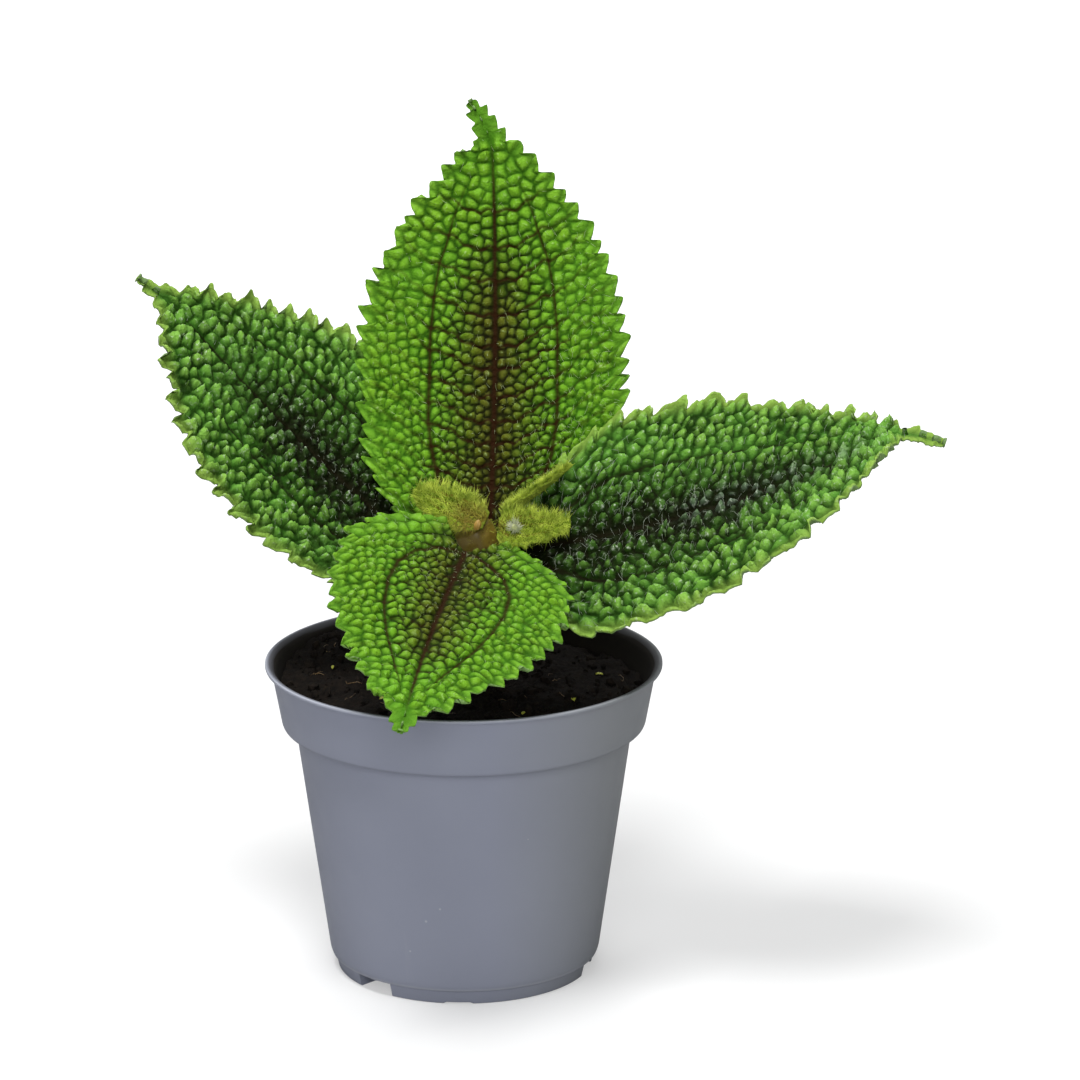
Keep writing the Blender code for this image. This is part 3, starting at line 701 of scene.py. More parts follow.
def tube_frames(centres):
    run = unit(np.gradient(centres, axis=0))
    one = unit(np.cross(run, [0.13, 1.0, 0.21]))
    return run, one, np.cross(run, one)


def make_tube(name, stations, sides, steps, seed, material, replaces):
    """Fleshy stalk with shallow ribs and a rounded end."""
    line = smooth_line(stations, steps)
    centres, radii = line[:, :3], line[:, 3]
    run, one, two = tube_frames(centres)
    angle = np.linspace(0.0, 2 * math.pi, sides, endpoint=False)
    points = []
    for i, centre in enumerate(centres):
        for a in angle:
            out = one[i] * math.cos(a) + two[i] * math.sin(a)
            place = Vector(centre + out * radii[i]) * 0.9 + Vector((seed, 0, 0))
            rough = 1.0 + 0.05 * noise.noise(place) + 0.025 * math.cos(5 * a + seed)
            points.append(centre + out * radii[i] * rough)
    points.append(centres[0] - run[0] * radii[0] * 0.15)
    points.append(centres[-1] + run[-1] * radii[-1] * 0.35)
    made = mesh_object(name, points, closed_faces(len(centres), sides))
    settle(made, material, replaces)
    return line


def tube_hairs(name, line, count, length, seed, material):
    chance = np.random.default_rng(seed)
    centres, radii = line[:, :3], line[:, 3]
    run, one, two = tube_frames(centres)
    pick = chance.integers(1, len(centres) - 1, count)
    angle = chance.uniform(0, 2 * math.pi, count)[:, None]
    out = one[pick] * np.cos(angle) + two[pick] * np.sin(angle)
    shift = run[pick] * chance.uniform(-0.3, 0.3, (count, 1))
    roots = centres[pick] + shift + out * (radii[pick] * 0.95)[:, None]
    reach = chance.uniform(0.5, 1.1, (count, 1)) * length
    way = out + run[pick] * chance.normal(0.1, 0.4, (count, 1))
    way += chance.normal(0.0, 0.2, (count, 3))
    bends = roots + way * reach * 0.5
    tips = roots + way * reach + run[pick] * reach * 0.2
    hair_object(name, roots, tips, bends, STALK_HAIR_RADIUS, material)


# ---------------------------------------------------------------- materials


class Nodes:
    """Small helper that adds and joins shader nodes."""

    def __init__(self, name):
        self.material = bpy.data.materials.new(name)
        self.material.use_nodes = True
        self.tree = self.material.node_tree
        self.shader = self.tree.nodes["Principled BSDF"]
        self.coords = None

    def add(self, kind, **settings):
        node = self.tree.nodes.new(kind)
        for key, value in settings.items():
            setattr(node, key, value)
        return node

    def link(self, out, into):
        self.tree.links.new(out, into)

    def value(self, name):
        node = self.add("ShaderNodeAttribute", attribute_name=name)
        return node.outputs["Fac"]

    def place(self):
        if self.coords is None:
            self.coords = self.add("ShaderNodeTexCoord").outputs["Object"]
        return self.coords

    def noise(self, scale, detail=4.0, rough=0.55):
        node = self.add("ShaderNodeTexNoise")
        node.inputs["Scale"].default_value = scale
        node.inputs["Detail"].default_value = detail
        node.inputs["Roughness"].default_value = rough
        self.link(self.place(), node.inputs["Vector"])
        return node.outputs["Fac"]

    def math(self, operation, one, two):
        node = self.add("ShaderNodeMath", operation=operation)
        for slot, item in enumerate((one, two)):
            if isinstance(item, (int, float)):
                node.inputs[slot].default_value = item
            else:
                self.link(item, node.inputs[slot])
        return node.outputs[0]

    def band(self, value, low, high, start=0.0, end=1.0):
        node = self.add("ShaderNodeMapRange", clamp=True)
        self.link(value, node.inputs["Value"])
        for key, number in (
            ("From Min", low), ("From Max", high), ("To Min", start), ("To Max", end),
        ):
            node.inputs[key].default_value = number
        return node.outputs["Result"]

    def mix(self, share, one, two):
        node = self.add("ShaderNodeMix", data_type="RGBA")
        for key, item in ((0, share), (6, one), (7, two)):
            if isinstance(item, (int, float, tuple)):
                node.inputs[key].default_value = item
            else:
                self.link(item, node.inputs[key])
        return node.outputs[2]

    def bump(self, height, strength, distance):
        node = self.add("ShaderNodeBump")
        node.inputs["Strength"].default_value = strength
        node.inputs["Distance"].default_value = distance
        self.link(height, node.inputs["Height"])
        self.link(node.outputs["Normal"], self.shader.inputs["Normal"])

    def finish(self, colour, roughness, **constants):
        self.link(colour, self.shader.inputs["Base Color"])
        if isinstance(roughness, (int, float)):
            self.shader.inputs["Roughness"].default_value = roughness
        else:
            self.link(roughness, self.shader.inputs["Roughness"])
        for key, value in constants.items():
            self.shader.inputs[key.replace("_", " ")].default_value = value
        return self.material


def leaf_material(name, look):
    n = Nodes(name)
    patches = n.noise(70.0, 3.0)
    fine = n.noise(2600.0, 3.0, 0.6)
    crinkle = n.noise(1500.0, 2.0, 0.5)
    rise = n.value("rise")
    cell = n.value("cell")
    brown = n.value("brown")
    edge = n.value("edge")
    sunk = n.math("SUBTRACT", rise, n.math("MULTIPLY", brown, look["sink"]))
    # Colour runs from shade in the valleys to top on the blisters: partly the leaf's own darker
    # valleys, partly painted shade
    lift = n.band(sunk, look["low"], look["high"])
    green = n.mix(lift, look["shade"], look["top"])
    green = n.mix(n.math("MULTIPLY", n.band(cell, 0.3, 1.0), look["vary"]), green, look["other"])
    green = n.mix(n.band(patches, 0.4, 0.7, 0.0, 0.45), green, look["patch"])
    muddy = n.mix(lift, look["olive_shade"], look["olive"])
    green = n.mix(n.band(brown, look["green_to"], 1.0, 0.0, look["muddy"]), green, muddy)
    green = n.mix(n.math("MULTIPLY", edge, look["edge_share"]), green, look["margin"])
    # Grooves between the blisters are darker: partly the leaf's own dark valleys, partly painted
    # shade; brown where the leaf is brown
    ripe = n.band(brown, look["ripe_from"], 0.60)
    dark = n.mix(ripe, look["groove"], look["brown_groove"])
    share = n.band(ripe, 0.0, 1.0, look["groove_share"], look["brown_share"])
    depth = n.math("MULTIPLY", n.value("groove"), n.band(edge, 0.0, 1.0, 1.0, 0.35))
    depth = n.math("MULTIPLY", depth, share)
    colour = n.mix(depth, green, dark)
    rungs = n.math("MULTIPLY", n.value("ladder"), 0.9)
    colour = n.mix(rungs, colour, look["vein"])
    colour = n.mix(n.math("MULTIPLY", n.value("vein"), 0.96), colour, look["vein"])
    # Pale tint on the blister tops near the midrib: partly pale hairs, partly painted sheen
    sheen_and_hair_tint = n.math("MULTIPLY", n.value("sheen_and_hair"), n.band(rise, 0.35, 0.85, 0.0, 0.4))
    colour = n.mix(sheen_and_hair_tint, colour, look["sheen_and_hair_tint"])
    # Painted highlights: small pale glints on the blister tops
    flecks = n.math("MULTIPLY", n.band(crinkle, 0.54, 0.74), n.band(fine, 0.42, 0.62))
    flecks = n.math("MULTIPLY", flecks, n.band(rise, 0.25, 0.7, 0.0, look["painted_glint_share"]))
    colour = n.mix(flecks, colour, look["painted_glint"])
    colour = n.mix(n.math("MULTIPLY", n.value("under"), 0.8), colour, look["under"])
    rough = n.math("ADD", n.band(rise, 0.2, 0.8, 0.75, look["rough"]),
                   n.band(fine, 0.3, 0.7, -0.05, 0.06))
    n.bump(n.math("ADD", n.math("MULTIPLY", fine, 0.35), crinkle), 0.75, 0.00055)
    return n.finish(colour, rough, Specular_IOR_Level=look["gloss"], Specular_Tint=LEAF_SHINE)


def fuzz_material(name, low, high, golden=0.0):
    """Hair skin, turning golden brown towards the shoot by the given share."""
    n = Nodes(name)
    colour = n.mix(n.band(n.noise(700.0, 2.0), 0.3, 0.7), low, high)
    away = n.add("ShaderNodeVectorMath", operation="DISTANCE")
    n.link(n.place(), away.inputs[0])
    away.inputs[1].default_value = [value * MM for value in GOLDEN_CENTRE]
    near = n.band(away.outputs["Value"], *(reach * MM for reach in GOLDEN_REACH), golden, 0.0)
    colour = n.mix(near, colour, GOLDEN_HAIR)
    return n.finish(colour, 0.55, Specular_IOR_Level=0.2)


def stalk_material(name, low, high, spot):
    n = Nodes(name)
    colour = n.mix(n.band(n.noise(160.0), 0.35, 0.65), low, high)
    colour = n.mix(n.band(n.noise(1400.0, 2.0), 0.60, 0.72, 0.0, 0.6), colour, spot)
    n.bump(n.noise(1100.0), 0.4, 0.0002)
    return n.finish(colour, 0.45, Specular_IOR_Level=0.45)


def pot_material():
    n = Nodes("pot_plastic")
    cloud = n.noise(28.0, 3.0)
    colour = n.mix(n.band(cloud, 0.35, 0.65), POT_GREY, POT_GREY_LIGHT)
    streak = n.add("ShaderNodeTexNoise")
    stretch = n.add("ShaderNodeMapping")
    stretch.inputs["Scale"].default_value = (1.0, 1.0, 0.12)
    n.link(n.place(), stretch.inputs["Vector"])
    n.link(stretch.outputs["Vector"], streak.inputs["Vector"])
    streak.inputs["Scale"].default_value = 420.0
    streak.inputs["Detail"].default_value = 3.0
    colour = n.mix(n.band(streak.outputs["Fac"], 0.68, 0.76, 0.0, 0.12), colour, POT_STREAK_AND_HIGHLIGHT)
    for angle, height, size in POT_SPECKS:
        radius = float(np.interp(height, BODY_HEIGHTS, BODY_RADII))
        turn = math.radians(angle)
        spot = n.add("ShaderNodeVectorMath", operation="DISTANCE")
        n.link(n.place(), spot.inputs[0])
        spot.inputs[1].default_value = (
            radius * math.sin(turn) * MM, -radius * math.cos(turn) * MM, height * MM,
        )
        near = n.band(spot.outputs["Value"], size * 0.4 * MM, size * MM, 0.42, 0.0)
        colour = n.mix(near, colour, POT_SPECK)
    # Painted highlight along the rim's outer top edge
    colour = n.mix(n.math("MULTIPLY", n.value("rim_highlight"), 0.5), colour, POT_RIM_HIGHLIGHT)
    across = n.add("ShaderNodeSeparateXYZ")
    n.link(n.place(), across.inputs[0])
    # Painted light: the pot's right side turns warmer and more neutral from x = 4 to 22 mm, for the
    # light falling there
    painted_side_light = n.band(across.outputs[0], 4.0 * MM, 22.0 * MM, 0.0, 0.9)
    colour = n.mix(painted_side_light, colour, POT_PAINTED_SIDE_LIGHT)
    # Painted highlight: a thin light line round the body's bottom edge, 2.25 to 2.8 mm up
    low = n.band(across.outputs[2], 2.25 * MM, 2.4 * MM)
    high = n.band(across.outputs[2], 2.5 * MM, 2.8 * MM, 0.75, 0.0)
    colour = n.mix(n.math("MULTIPLY", low, high), colour, POT_STREAK_AND_HIGHLIGHT)
    # Painted shadow under the band's ledge
    colour = n.mix(n.math("MULTIPLY", n.value("ledge_shadow"), 0.55), colour, POT_LEDGE_SHADOW)
    # Darker grey on the rim's top and inside the band
    colour = n.mix(n.math("MULTIPLY", n.value("rim_darkening"), 0.9), colour, POT_RIM_DARKENING)
    stain = n.value("stain")
    colour = n.mix(n.math("MULTIPLY", stain, 0.97), colour, POT_STAIN)
    grain = n.noise(3800.0, 2.0)
    rough = n.band(n.noise(240.0, 4.0), 0.3, 0.7, 0.50, 0.62)
    rough = n.math("MAXIMUM", rough, n.math("MULTIPLY", stain, 0.9))
    n.bump(n.math("ADD", grain, n.math("MULTIPLY", n.noise(300.0, 2.0), 1.5)), 0.12, 0.00008)
    return n.finish(colour, rough, Specular_IOR_Level=0.22)


def soil_material(name, lift):
    n = Nodes(name)
    rough = n.noise(900.0, 6.0, 0.7)
    clump = n.noise(220.0, 4.0)
    colour = n.mix(n.band(rough, 0.38, 0.7), srgb(9, 6, 4), srgb(27 + lift, 20 + lift, 14 + lift))
    colour = n.mix(n.band(clump, 0.58, 0.78, 0.0, 0.4), colour, srgb(38 + lift, 29 + lift, 20))
    n.bump(rough, 0.8, 0.0006)
    return n.finish(colour, 0.9, Specular_IOR_Level=0.15)


GOLDEN_HAIR = srgb(150, 124, 58)
LEAF_SHINE = (0.80, 1.0, 0.45, 1.0)
# Leaf looks: shade and groove colours hold painted shade in the valleys as well as the leaf's own
# darker valleys
LIGHT_LOOK = {
    "low": 0.10, "high": 0.60, "shade": srgb(34, 78, 2), "top": srgb(110, 158, 36),
    "vary": 0.35, "other": srgb(82, 142, 28), "patch": srgb(94, 154, 36),
    "olive_shade": srgb(20, 12, 0), "olive": srgb(84, 84, 24), "muddy": 0.97,
    "green_to": 0.52, "ripe_from": 0.20, "sink": 0.08,
    "edge_share": 0.35, "margin": srgb(112, 162, 48), "groove": srgb(16, 50, 0),
    "brown_groove": srgb(12, 4, 0), "groove_share": 0.55, "brown_share": 0.98,
    "vein": srgb(36, 6, 2), "sheen_and_hair_tint": srgb(150, 160, 140), "painted_glint": srgb(178, 206, 134),
    "painted_glint_share": 0.55, "under": srgb(120, 150, 92), "rough": 0.30, "gloss": 0.14,
}
DARK_LOOK = {
    "low": 0.18, "high": 0.72, "shade": srgb(18, 56, 3), "top": srgb(118, 164, 66),
    "vary": 0.35, "other": srgb(86, 150, 48), "patch": srgb(98, 158, 58),
    "olive_shade": srgb(3, 2, 0), "olive": srgb(50, 84, 28), "muddy": 0.97,
    "green_to": 0.16, "ripe_from": 0.03, "sink": 0.22,
    "edge_share": 0.75, "margin": srgb(140, 172, 74), "groove": srgb(10, 32, 0),
    "brown_groove": srgb(3, 1, 0), "groove_share": 0.75, "brown_share": 1.0,
    "vein": srgb(12, 4, 2), "sheen_and_hair_tint": srgb(138, 144, 142), "painted_glint": srgb(196, 206, 186),
    "painted_glint_share": 0.9, "under": srgb(112, 138, 92), "rough": 0.25, "gloss": 0.14,
}
YOUNG_LOOK = dict(
    LIGHT_LOOK, shade=srgb(40, 58, 4), top=srgb(124, 146, 32), other=srgb(104, 124, 24),
    patch=srgb(122, 148, 34), olive=srgb(112, 92, 34), olive_shade=srgb(70, 52, 18),
    margin=srgb(150, 170, 56), groove=srgb(60, 74, 8), brown_groove=srgb(56, 44, 14),
    vein=srgb(92, 80, 24), under=srgb(136, 150, 56),
)


# ---------------------------------------------------------------- pot


def turned_points(profile, sides):
    profile = np.array(profile)
    angle = np.linspace(0.0, 2 * math.pi, sides, endpoint=False)
    return np.stack([
        profile[:, 0:1] * np.cos(angle), profile[:, 0:1] * np.sin(angle),
        profile[:, 1:2] * np.ones(sides),
    ], -1)


def rounded(points, radius_list, steps=5):
    """Profile whose inner corners are rounded by the radius given for each."""
    out = [points[0]]
    for i in range(1, len(points) - 1):
        corner = np.array(points[i], float)
        r = radius_list.get(i, 0.0)
        if r <= 0:
            out.append(tuple(corner))
            continue
        before = np.array(points[i - 1]) - corner
        after = np.array(points[i + 1]) - corner
        r = min(r, 0.45 * np.linalg.norm(before), 0.45 * np.linalg.norm(after))
        a = corner + before / np.linalg.norm(before) * r
        b = corner + after / np.linalg.norm(after) * r
        for s in np.linspace(0.0, 1.0, steps):
            out.append(tuple((1 - s) ** 2 * a + 2 * s * (1 - s) * corner + s * s * b))
    out.append(points[-1])
    return out


def refine(profile, longest=1.6):
    out = [profile[0]]
    for a, b in zip(profile, profile[1:]):
        gap = math.hypot(b[0] - a[0], b[1] - a[1])
        parts = max(1, math.ceil(gap / longest))
        for k in range(1, parts + 1):
            out.append((a[0] + (b[0] - a[0]) * k / parts, a[1] + (b[1] - a[1]) * k / parts))
    return out


def linked(name, shape):
    """Object in the scene made from a bmesh, which is freed."""
    mesh = bpy.data.meshes.new(name)
    shape.to_mesh(mesh)
    shape.free()
    made = bpy.data.objects.new(name, mesh)
    bpy.context.scene.collection.objects.link(made)
    return made


def box_cutter(name, width, inner, outer, low, high, angle):
    shape = bmesh.new()
    turn = Matrix.Rotation(math.radians(angle), 4, "Z")
    centre = Vector((0.0, -(inner + outer) / 2, (low + high) / 2)) * MM
    sized = Matrix.Diagonal((width, outer - inner, high - low, 1.0))
    bmesh.ops.create_cube(shape, size=MM, matrix=turn @ Matrix.Translation(centre) @ sized)
    return linked(name, shape)


def drill_cutter(name, radius, offset, angle):
    shape = bmesh.new()
    turn = Matrix.Rotation(math.radians(angle), 4, "Z")
    place = turn @ Matrix.Translation(Vector((0.0, -offset, 2.5)) * MM)
    bmesh.ops.create_cone(
        shape, cap_ends=True, segments=32, radius1=radius * MM, radius2=radius * MM,
        depth=2.0 * MM, matrix=place,
    )
    return linked(name, shape)


def cut(made, tools):
    """Applies Boolean tools, given as (object, operation), then deletes them."""
    for tool, operation in tools:
        step = made.modifiers.new("cut", "BOOLEAN")
        step.operation = operation
        step.solver = "EXACT"
        step.object = tool
    graph = bpy.context.evaluated_depsgraph_get()
    mesh = bpy.data.meshes.new_from_object(made.evaluated_get(graph))
    made.modifiers.clear()
    made.data = mesh
    for tool, _ in tools:
        bpy.data.objects.remove(tool, do_unlink=True)


POT_GREY = srgb(133, 137, 152)
POT_GREY_LIGHT = srgb(138, 142, 157)
# Pale colour of the moulding streaks, also of the painted highlight line at the foot
POT_STREAK_AND_HIGHLIGHT = srgb(152, 155, 165)
POT_SPECK = srgb(190, 192, 198)
POT_STAIN = srgb(26, 21, 14)
POT_RIM_DARKENING = srgb(72, 71, 75)
# Colour of the painted shadow under the band's ledge
POT_LEDGE_SHADOW = srgb(86, 88, 98)
# Colour of the painted light on the pot's right side
POT_PAINTED_SIDE_LIGHT = srgb(134, 137, 140)
# Colour of the painted highlight on the rim's outer top edge
POT_RIM_HIGHLIGHT = srgb(182, 185, 194)
# Pale specks on the body: angle to the right of the front, height, half width
POT_SPECKS = ((-8.7, 16.1, 0.22), (-14.4, 13.9, 0.26), (-21.8, 8.6, 0.20), (24.0, 27.0, 0.16))
POT_OUTER = (
    (29.35, 48.0), (30.0, 48.0), (30.0, 47.5), (29.12, 47.45), (27.55, 39.0), (27.4, 38.62),
    (25.72, 38.5), (25.46, 37.9), (20.55, 3.1), (20.25, 2.25), (19.85, 2.2), (19.35, 0.0),
    (9.0, 0.0), (0.0, 0.0),
)
POT_FLOOR = 0.8
POT_INNER = (
    (0.0, POT_FLOOR), (18.5, POT_FLOOR), (18.5, 2.7), (18.8, 3.0), (19.6, 3.15), (19.85, 3.5),
    (24.8, 39.0), (25.05, 39.45), (26.55, 39.55), (26.85, 39.9), (28.4, 47.1), (29.15, 47.9),
    (29.35, 48.0),
)
# The pot's body between foot and band: heights and outer radii
BODY_HEIGHTS = (3.1, 38.2)
BODY_RADII = (20.55, 25.5)
CHANNEL_ANGLES = (-43.5, 76.5, 196.5)
FOOT_NICK_ANGLE = -2.0
POT_SIDES = 240


def add_pot_marks_and_painted_light(pot):
    """Marks the pot: damp peat darkens its inside up to just below the rim's top, the rim's top and
    the band's inside are darker grey, the rim's outer top edge gets a painted highlight and the
    body under the band's ledge a painted shadow.
    """
    points = np.empty(len(pot.data.vertices) * 3)
    pot.data.vertices.foreach_get("co", points)
    points = points.reshape(-1, 3) / MM
    radius = np.hypot(points[:, 0], points[:, 1])
    middle = np.interp(points[:, 2], [3.1, 38.2, 39.2, 39.7, 47.4], [20.2, 25.1, 25.3, 27.3, 28.75])
    angle = np.arctan2(points[:, 1], points[:, 0])
    top = 47.75 + 0.1 * np.sin(angle * 7.0) + 0.08 * np.sin(angle * 17.0 + 1.0)
    inside = (radius < middle) & (points[:, 2] > 3.0)
    add_values(pot, "stain", inside * smooth_step((top - points[:, 2]) / 0.55 + 0.3))
    add_values(pot, "rim_highlight", smooth_step((points[:, 2] - 47.7) / 0.2) * (radius > 29.6))
    # Darker grey on the rim's top inside its outer edge, and on the inside of the band above 40 mm
    rim_top = (points[:, 2] > 47.6) & (radius < 29.6)
    add_values(pot, "rim_darkening", rim_top | ((points[:, 2] > 40.0) & (radius < middle)))
    # Painted shadow on the body just under the band's ledge
    ledge_shadow = np.exp(-((points[:, 2] - 38.45) / 0.45) ** 2) * (radius > middle)
    add_values(pot, "ledge_shadow", ledge_shadow)


def make_pot():
    inner = rounded(POT_INNER, {
        1: 0.4, 2: 0.15, 3: 0.1, 4: 0.15, 5: 0.2, 6: 0.2, 7: 0.2, 8: 0.15, 9: 0.3, 10: 0.8, 11: 0.4,
    })
    outer = rounded(POT_OUTER, {
        1: 0.14, 2: 0.14, 3: 0.3, 4: 0.22, 5: 0.18, 6: 0.25, 7: 0.5, 8: 0.6, 9: 0.3, 10: 0.12,
        11: 0.22,
    })
    profile = refine([*inner, *outer[1:]])
    rings = turned_points(profile[1:-1], POT_SIDES)
    nick = np.arctan2(rings[..., 0], -rings[..., 1]) - math.radians(FOOT_NICK_ANGLE)
    near = smooth_step((2.2 - np.abs(nick) * 19.2) / 0.3)
    low = (rings[..., 2] < 0.25) & (np.hypot(rings[..., 0], rings[..., 1]) > 17.5)
    rings[..., 2] += np.where(low, near * 0.22, 0.0)
    points = [*rings.reshape(-1, 3), (0.0, 0.0, POT_FLOOR), (0.0, 0.0, 0.0)]
    pot = mesh_object("pot_shell", points, closed_faces(len(rings), POT_SIDES))
    roofs = []
    grooves = []
    for i, angle in enumerate(CHANNEL_ANGLES):
        roofs.append((box_cutter(f"roof{i}", 8.0, 9.3, 19.0, 0.3, 2.9, angle), "UNION"))
        grooves.append((box_cutter(f"groove{i}", 6.6, 10.0, 19.8, -1.0, 2.2, angle), "DIFFERENCE"))
        grooves.append((drill_cutter(f"drill{i}", 1.5, 14.0, angle), "DIFFERENCE"))
    cut(pot, roofs + grooves)
    pot.data.polygons.foreach_set("use_smooth", [True] * len(pot.data.polygons))
    pot.data.set_sharp_from_angle(angle=math.radians(38))
    add_pot_marks_and_painted_light(pot)
    settle(pot, pot_material(), ("pot",))


# ---------------------------------------------------------------- soil

SOIL_SIDES = 230
SOIL_RINGS = 96
SOIL_RADIUS = 27.7
CRUMBS = 620
FIBRES = 34
# One fibre that shows at the front: x, y, heading, length, radius
FRONT_FIBRE = (-4.8, -14.4, 0.1, 3.8, 0.10)
# Green flecks: x, y, half length
FLECKS = (
    (16.4, -8.4, 1.0), (-12.0, -8.4, 0.7), (-17.3, 16.5, 0.7), (9.0, -16.0, 0.5),
    (20.5, 3.0, 0.5), (-20.0, 4.0, 0.5),
)


def soil_level(x, y):
    """Height of the peat, heaped towards the back left, before its lumps."""
    radius = math.hypot(x, y)
    angle = math.radians(128.0)
    towards = (x * math.cos(angle) + y * math.sin(angle)) / 26.0
    heap = 3.3 * max(0.0, towards) ** 2
    return 44.6 - 1.2 * (radius / 27.0) ** 3 + heap


def lumps(x, y):
    place = Vector((x, y, 3.0))
    coarse = noise.fractal(place * 0.28, 0.8, 2.2, 4)
    fine = noise.fractal(place * 1.3, 0.7, 2.1, 3)
    return 0.75 * coarse + 0.32 * fine


def soil_surface(x, y):
    fade = min(1.0, max(0.0, (math.hypot(x, y) - 1.0) / 3.0))
    return soil_level(x, y) + lumps(x, y) * (0.4 + 0.6 * fade)


def wall_radius(z):
    """Inside radius of the pot at a height, less a hair."""
    return float(np.interp(z, [3.5, 39.0, 39.5, 39.9, 47.1], [19.6, 24.55, 24.8, 26.6, 28.15]))


def make_soil(material, crumb_material):
    points = [(0.0, 0.0, soil_surface(0.0, 0.0))]
    angle = np.linspace(0.0, 2 * math.pi, SOIL_SIDES, endpoint=False)
    for i in range(1, SOIL_RINGS + 1):
        radius = SOIL_RADIUS * i / SOIL_RINGS
        for a in angle:
            x, y = radius * math.cos(a), radius * math.sin(a)
            z = soil_surface(x, y)
            limit = wall_radius(z)
            if radius > limit - 0.6:
                scale = min(1.0, limit / radius)
                x, y = x * scale, y * scale
            points.append((x, y, z))
    rims = [
        (26.6, 40.4), (26.3, 39.95), (24.8, 39.85), (24.4, 38.9), (19.5, 3.9), (18.6, 3.4),
        (9.0, 3.3),
    ]
    for radius, z in rims:
        for a in angle:
            points.append((radius * math.cos(a), radius * math.sin(a), z))
    points.append((0.0, 0.0, 3.3))
    rows = SOIL_RINGS + len(rims)
    first = 1 + np.arange(SOIL_SIDES)
    last = first + (rows - 1) * SOIL_SIDES
    top = np.stack([first, np.roll(first, -1), np.zeros(SOIL_SIDES, int)], -1)
    end = np.full(SOIL_SIDES, len(points) - 1)
    base = np.stack([np.roll(last, -1), last, end], -1)
    soil = mesh_object(
        "peat", points, [top, grid_faces(rows, SOIL_SIDES, start=1, wrap=True)[:, ::-1], base],
    )
    settle(soil, material, ("soil",))

    chance = np.random.default_rng(71)
    ball, ball_faces = ball_mesh(1)
    all_points = []
    all_faces = []
    for k in range(CRUMBS):
        radius = 26.8 * math.sqrt(chance.random())
        a = chance.uniform(0, 2 * math.pi)
        x, y = radius * math.cos(a), radius * math.sin(a)
        size = 0.22 + 0.95 * chance.random() ** 4
        stretch = chance.uniform(0.6, 1.25, 3) * size
        lump = ball * stretch * (1.0 + chance.normal(0.0, 0.13, (len(ball), 1)))
        turn = np.array(Matrix.Rotation(chance.uniform(0, 6.28), 3, chance.normal(0, 1, 3)))
        z = soil_surface(x, y) + size * 0.12
        all_points.append(lump @ turn + np.array([x, y, z]))
        all_faces.append(ball_faces + k * len(ball))
    crumbs = mesh_object("peat_crumbs", np.concatenate(all_points), all_faces, smooth=False)
    settle(crumbs, crumb_material)


def strand(centres, radius, sides=5):
    _, one, two = tube_frames(centres)
    rows = len(centres)
    taper = np.sin(np.linspace(0.12, math.pi - 0.12, rows)) ** 0.4
    points = []
    for i in range(rows):
        for k in range(sides):
            a = 2 * math.pi * k / sides
            out = one[i] * math.cos(a) + two[i] * math.sin(a)
            points.append(centres[i] + out * radius * taper[i])
    return np.array(points), grid_faces(rows, sides, wrap=True)[:, ::-1]


def make_fibres(material):
    """Thin root and bark fibres lying on the peat."""
    chance = np.random.default_rng(83)
    starts = [FRONT_FIBRE]
    for _ in range(FIBRES):
        radius = 25.0 * math.sqrt(chance.random())
        a = chance.uniform(0, 2 * math.pi)
        starts.append((
            radius * math.cos(a), radius * math.sin(a), chance.uniform(0, 2 * math.pi),
            chance.uniform(1.5, 4.5), chance.uniform(0.04, 0.08),
        ))
    all_points = []
    all_faces = []
    count = 0
    for x, y, heading, length, thick in starts:
        curl = chance.uniform(-0.25, 0.25)
        centres = []
        for s in range(9):
            centres.append((x, y, soil_surface(x, y) + 0.12 + 0.15 * math.sin(s * 0.8)))
            x += math.cos(heading) * length / 8
            y += math.sin(heading) * length / 8
            heading += curl
        centres = np.array(centres)
        if np.hypot(centres[:, 0], centres[:, 1]).max() > 26.3:
            continue
        points, faces = strand(centres, thick)
        all_points.append(points)
        all_faces.append(faces + count)
        count += len(points)
    fibres = mesh_object("peat_fibres", np.concatenate(all_points), all_faces)
    settle(fibres, material)


def make_bits(material):
    """A few fallen green flecks on the peat."""
    chance = np.random.default_rng(91)
    all_points = []
    all_faces = []
    for k, (x, y, size) in enumerate(FLECKS):
        s, v = np.meshgrid(np.linspace(-1, 1, 7), np.linspace(-1, 1, 5), indexing="ij")
        width = np.sqrt(np.clip(1.05 - s * s, 0.02, 1)) * 0.45
        turn = chance.uniform(0, 6.28)
        px = s * size * math.cos(turn) - v * width * size * math.sin(turn)
        py = s * size * math.sin(turn) + v * width * size * math.cos(turn)
        pz = 0.25 * size * (1 - s * s) + 0.12 * chance.normal(0, 1, s.shape) * size
        z = soil_surface(x, y) + 0.35
        grid = np.stack([px + x, py + y, pz + z], -1).reshape(-1, 3)
        all_points.append(grid)
        all_faces.append(grid_faces(7, 5, start=k * 35))
    bits = mesh_object("peat_flecks", np.concatenate(all_points), all_faces)
    thick = bits.modifiers.new("Thickness", "SOLIDIFY")
    thick.thickness = 0.15 * MM
    settle(bits, material)


# ---------------------------------------------------------------- shoot


def make_bud(name, centre, size, tilt, material, node, seed):
    """Small ridged bud scale, pointed at the top."""
    ball, faces = ball_mesh(4)
    narrow = 1.0 - 0.35 * np.clip(ball[:, 2:3], 0, 1) ** 2
    ridges = 1.0 + 0.07 * np.sin(7 * np.arctan2(ball[:, 1:2], ball[:, 0:1]) + seed)
    ball[:, :2] *= narrow * ridges
    turn = np.array(Matrix.Rotation(math.radians(tilt), 3, "Y"))
    points = (ball * size) @ turn.T + np.array(centre)
    settle(mesh_object(name, points, [faces]), material, (node,))
    return points


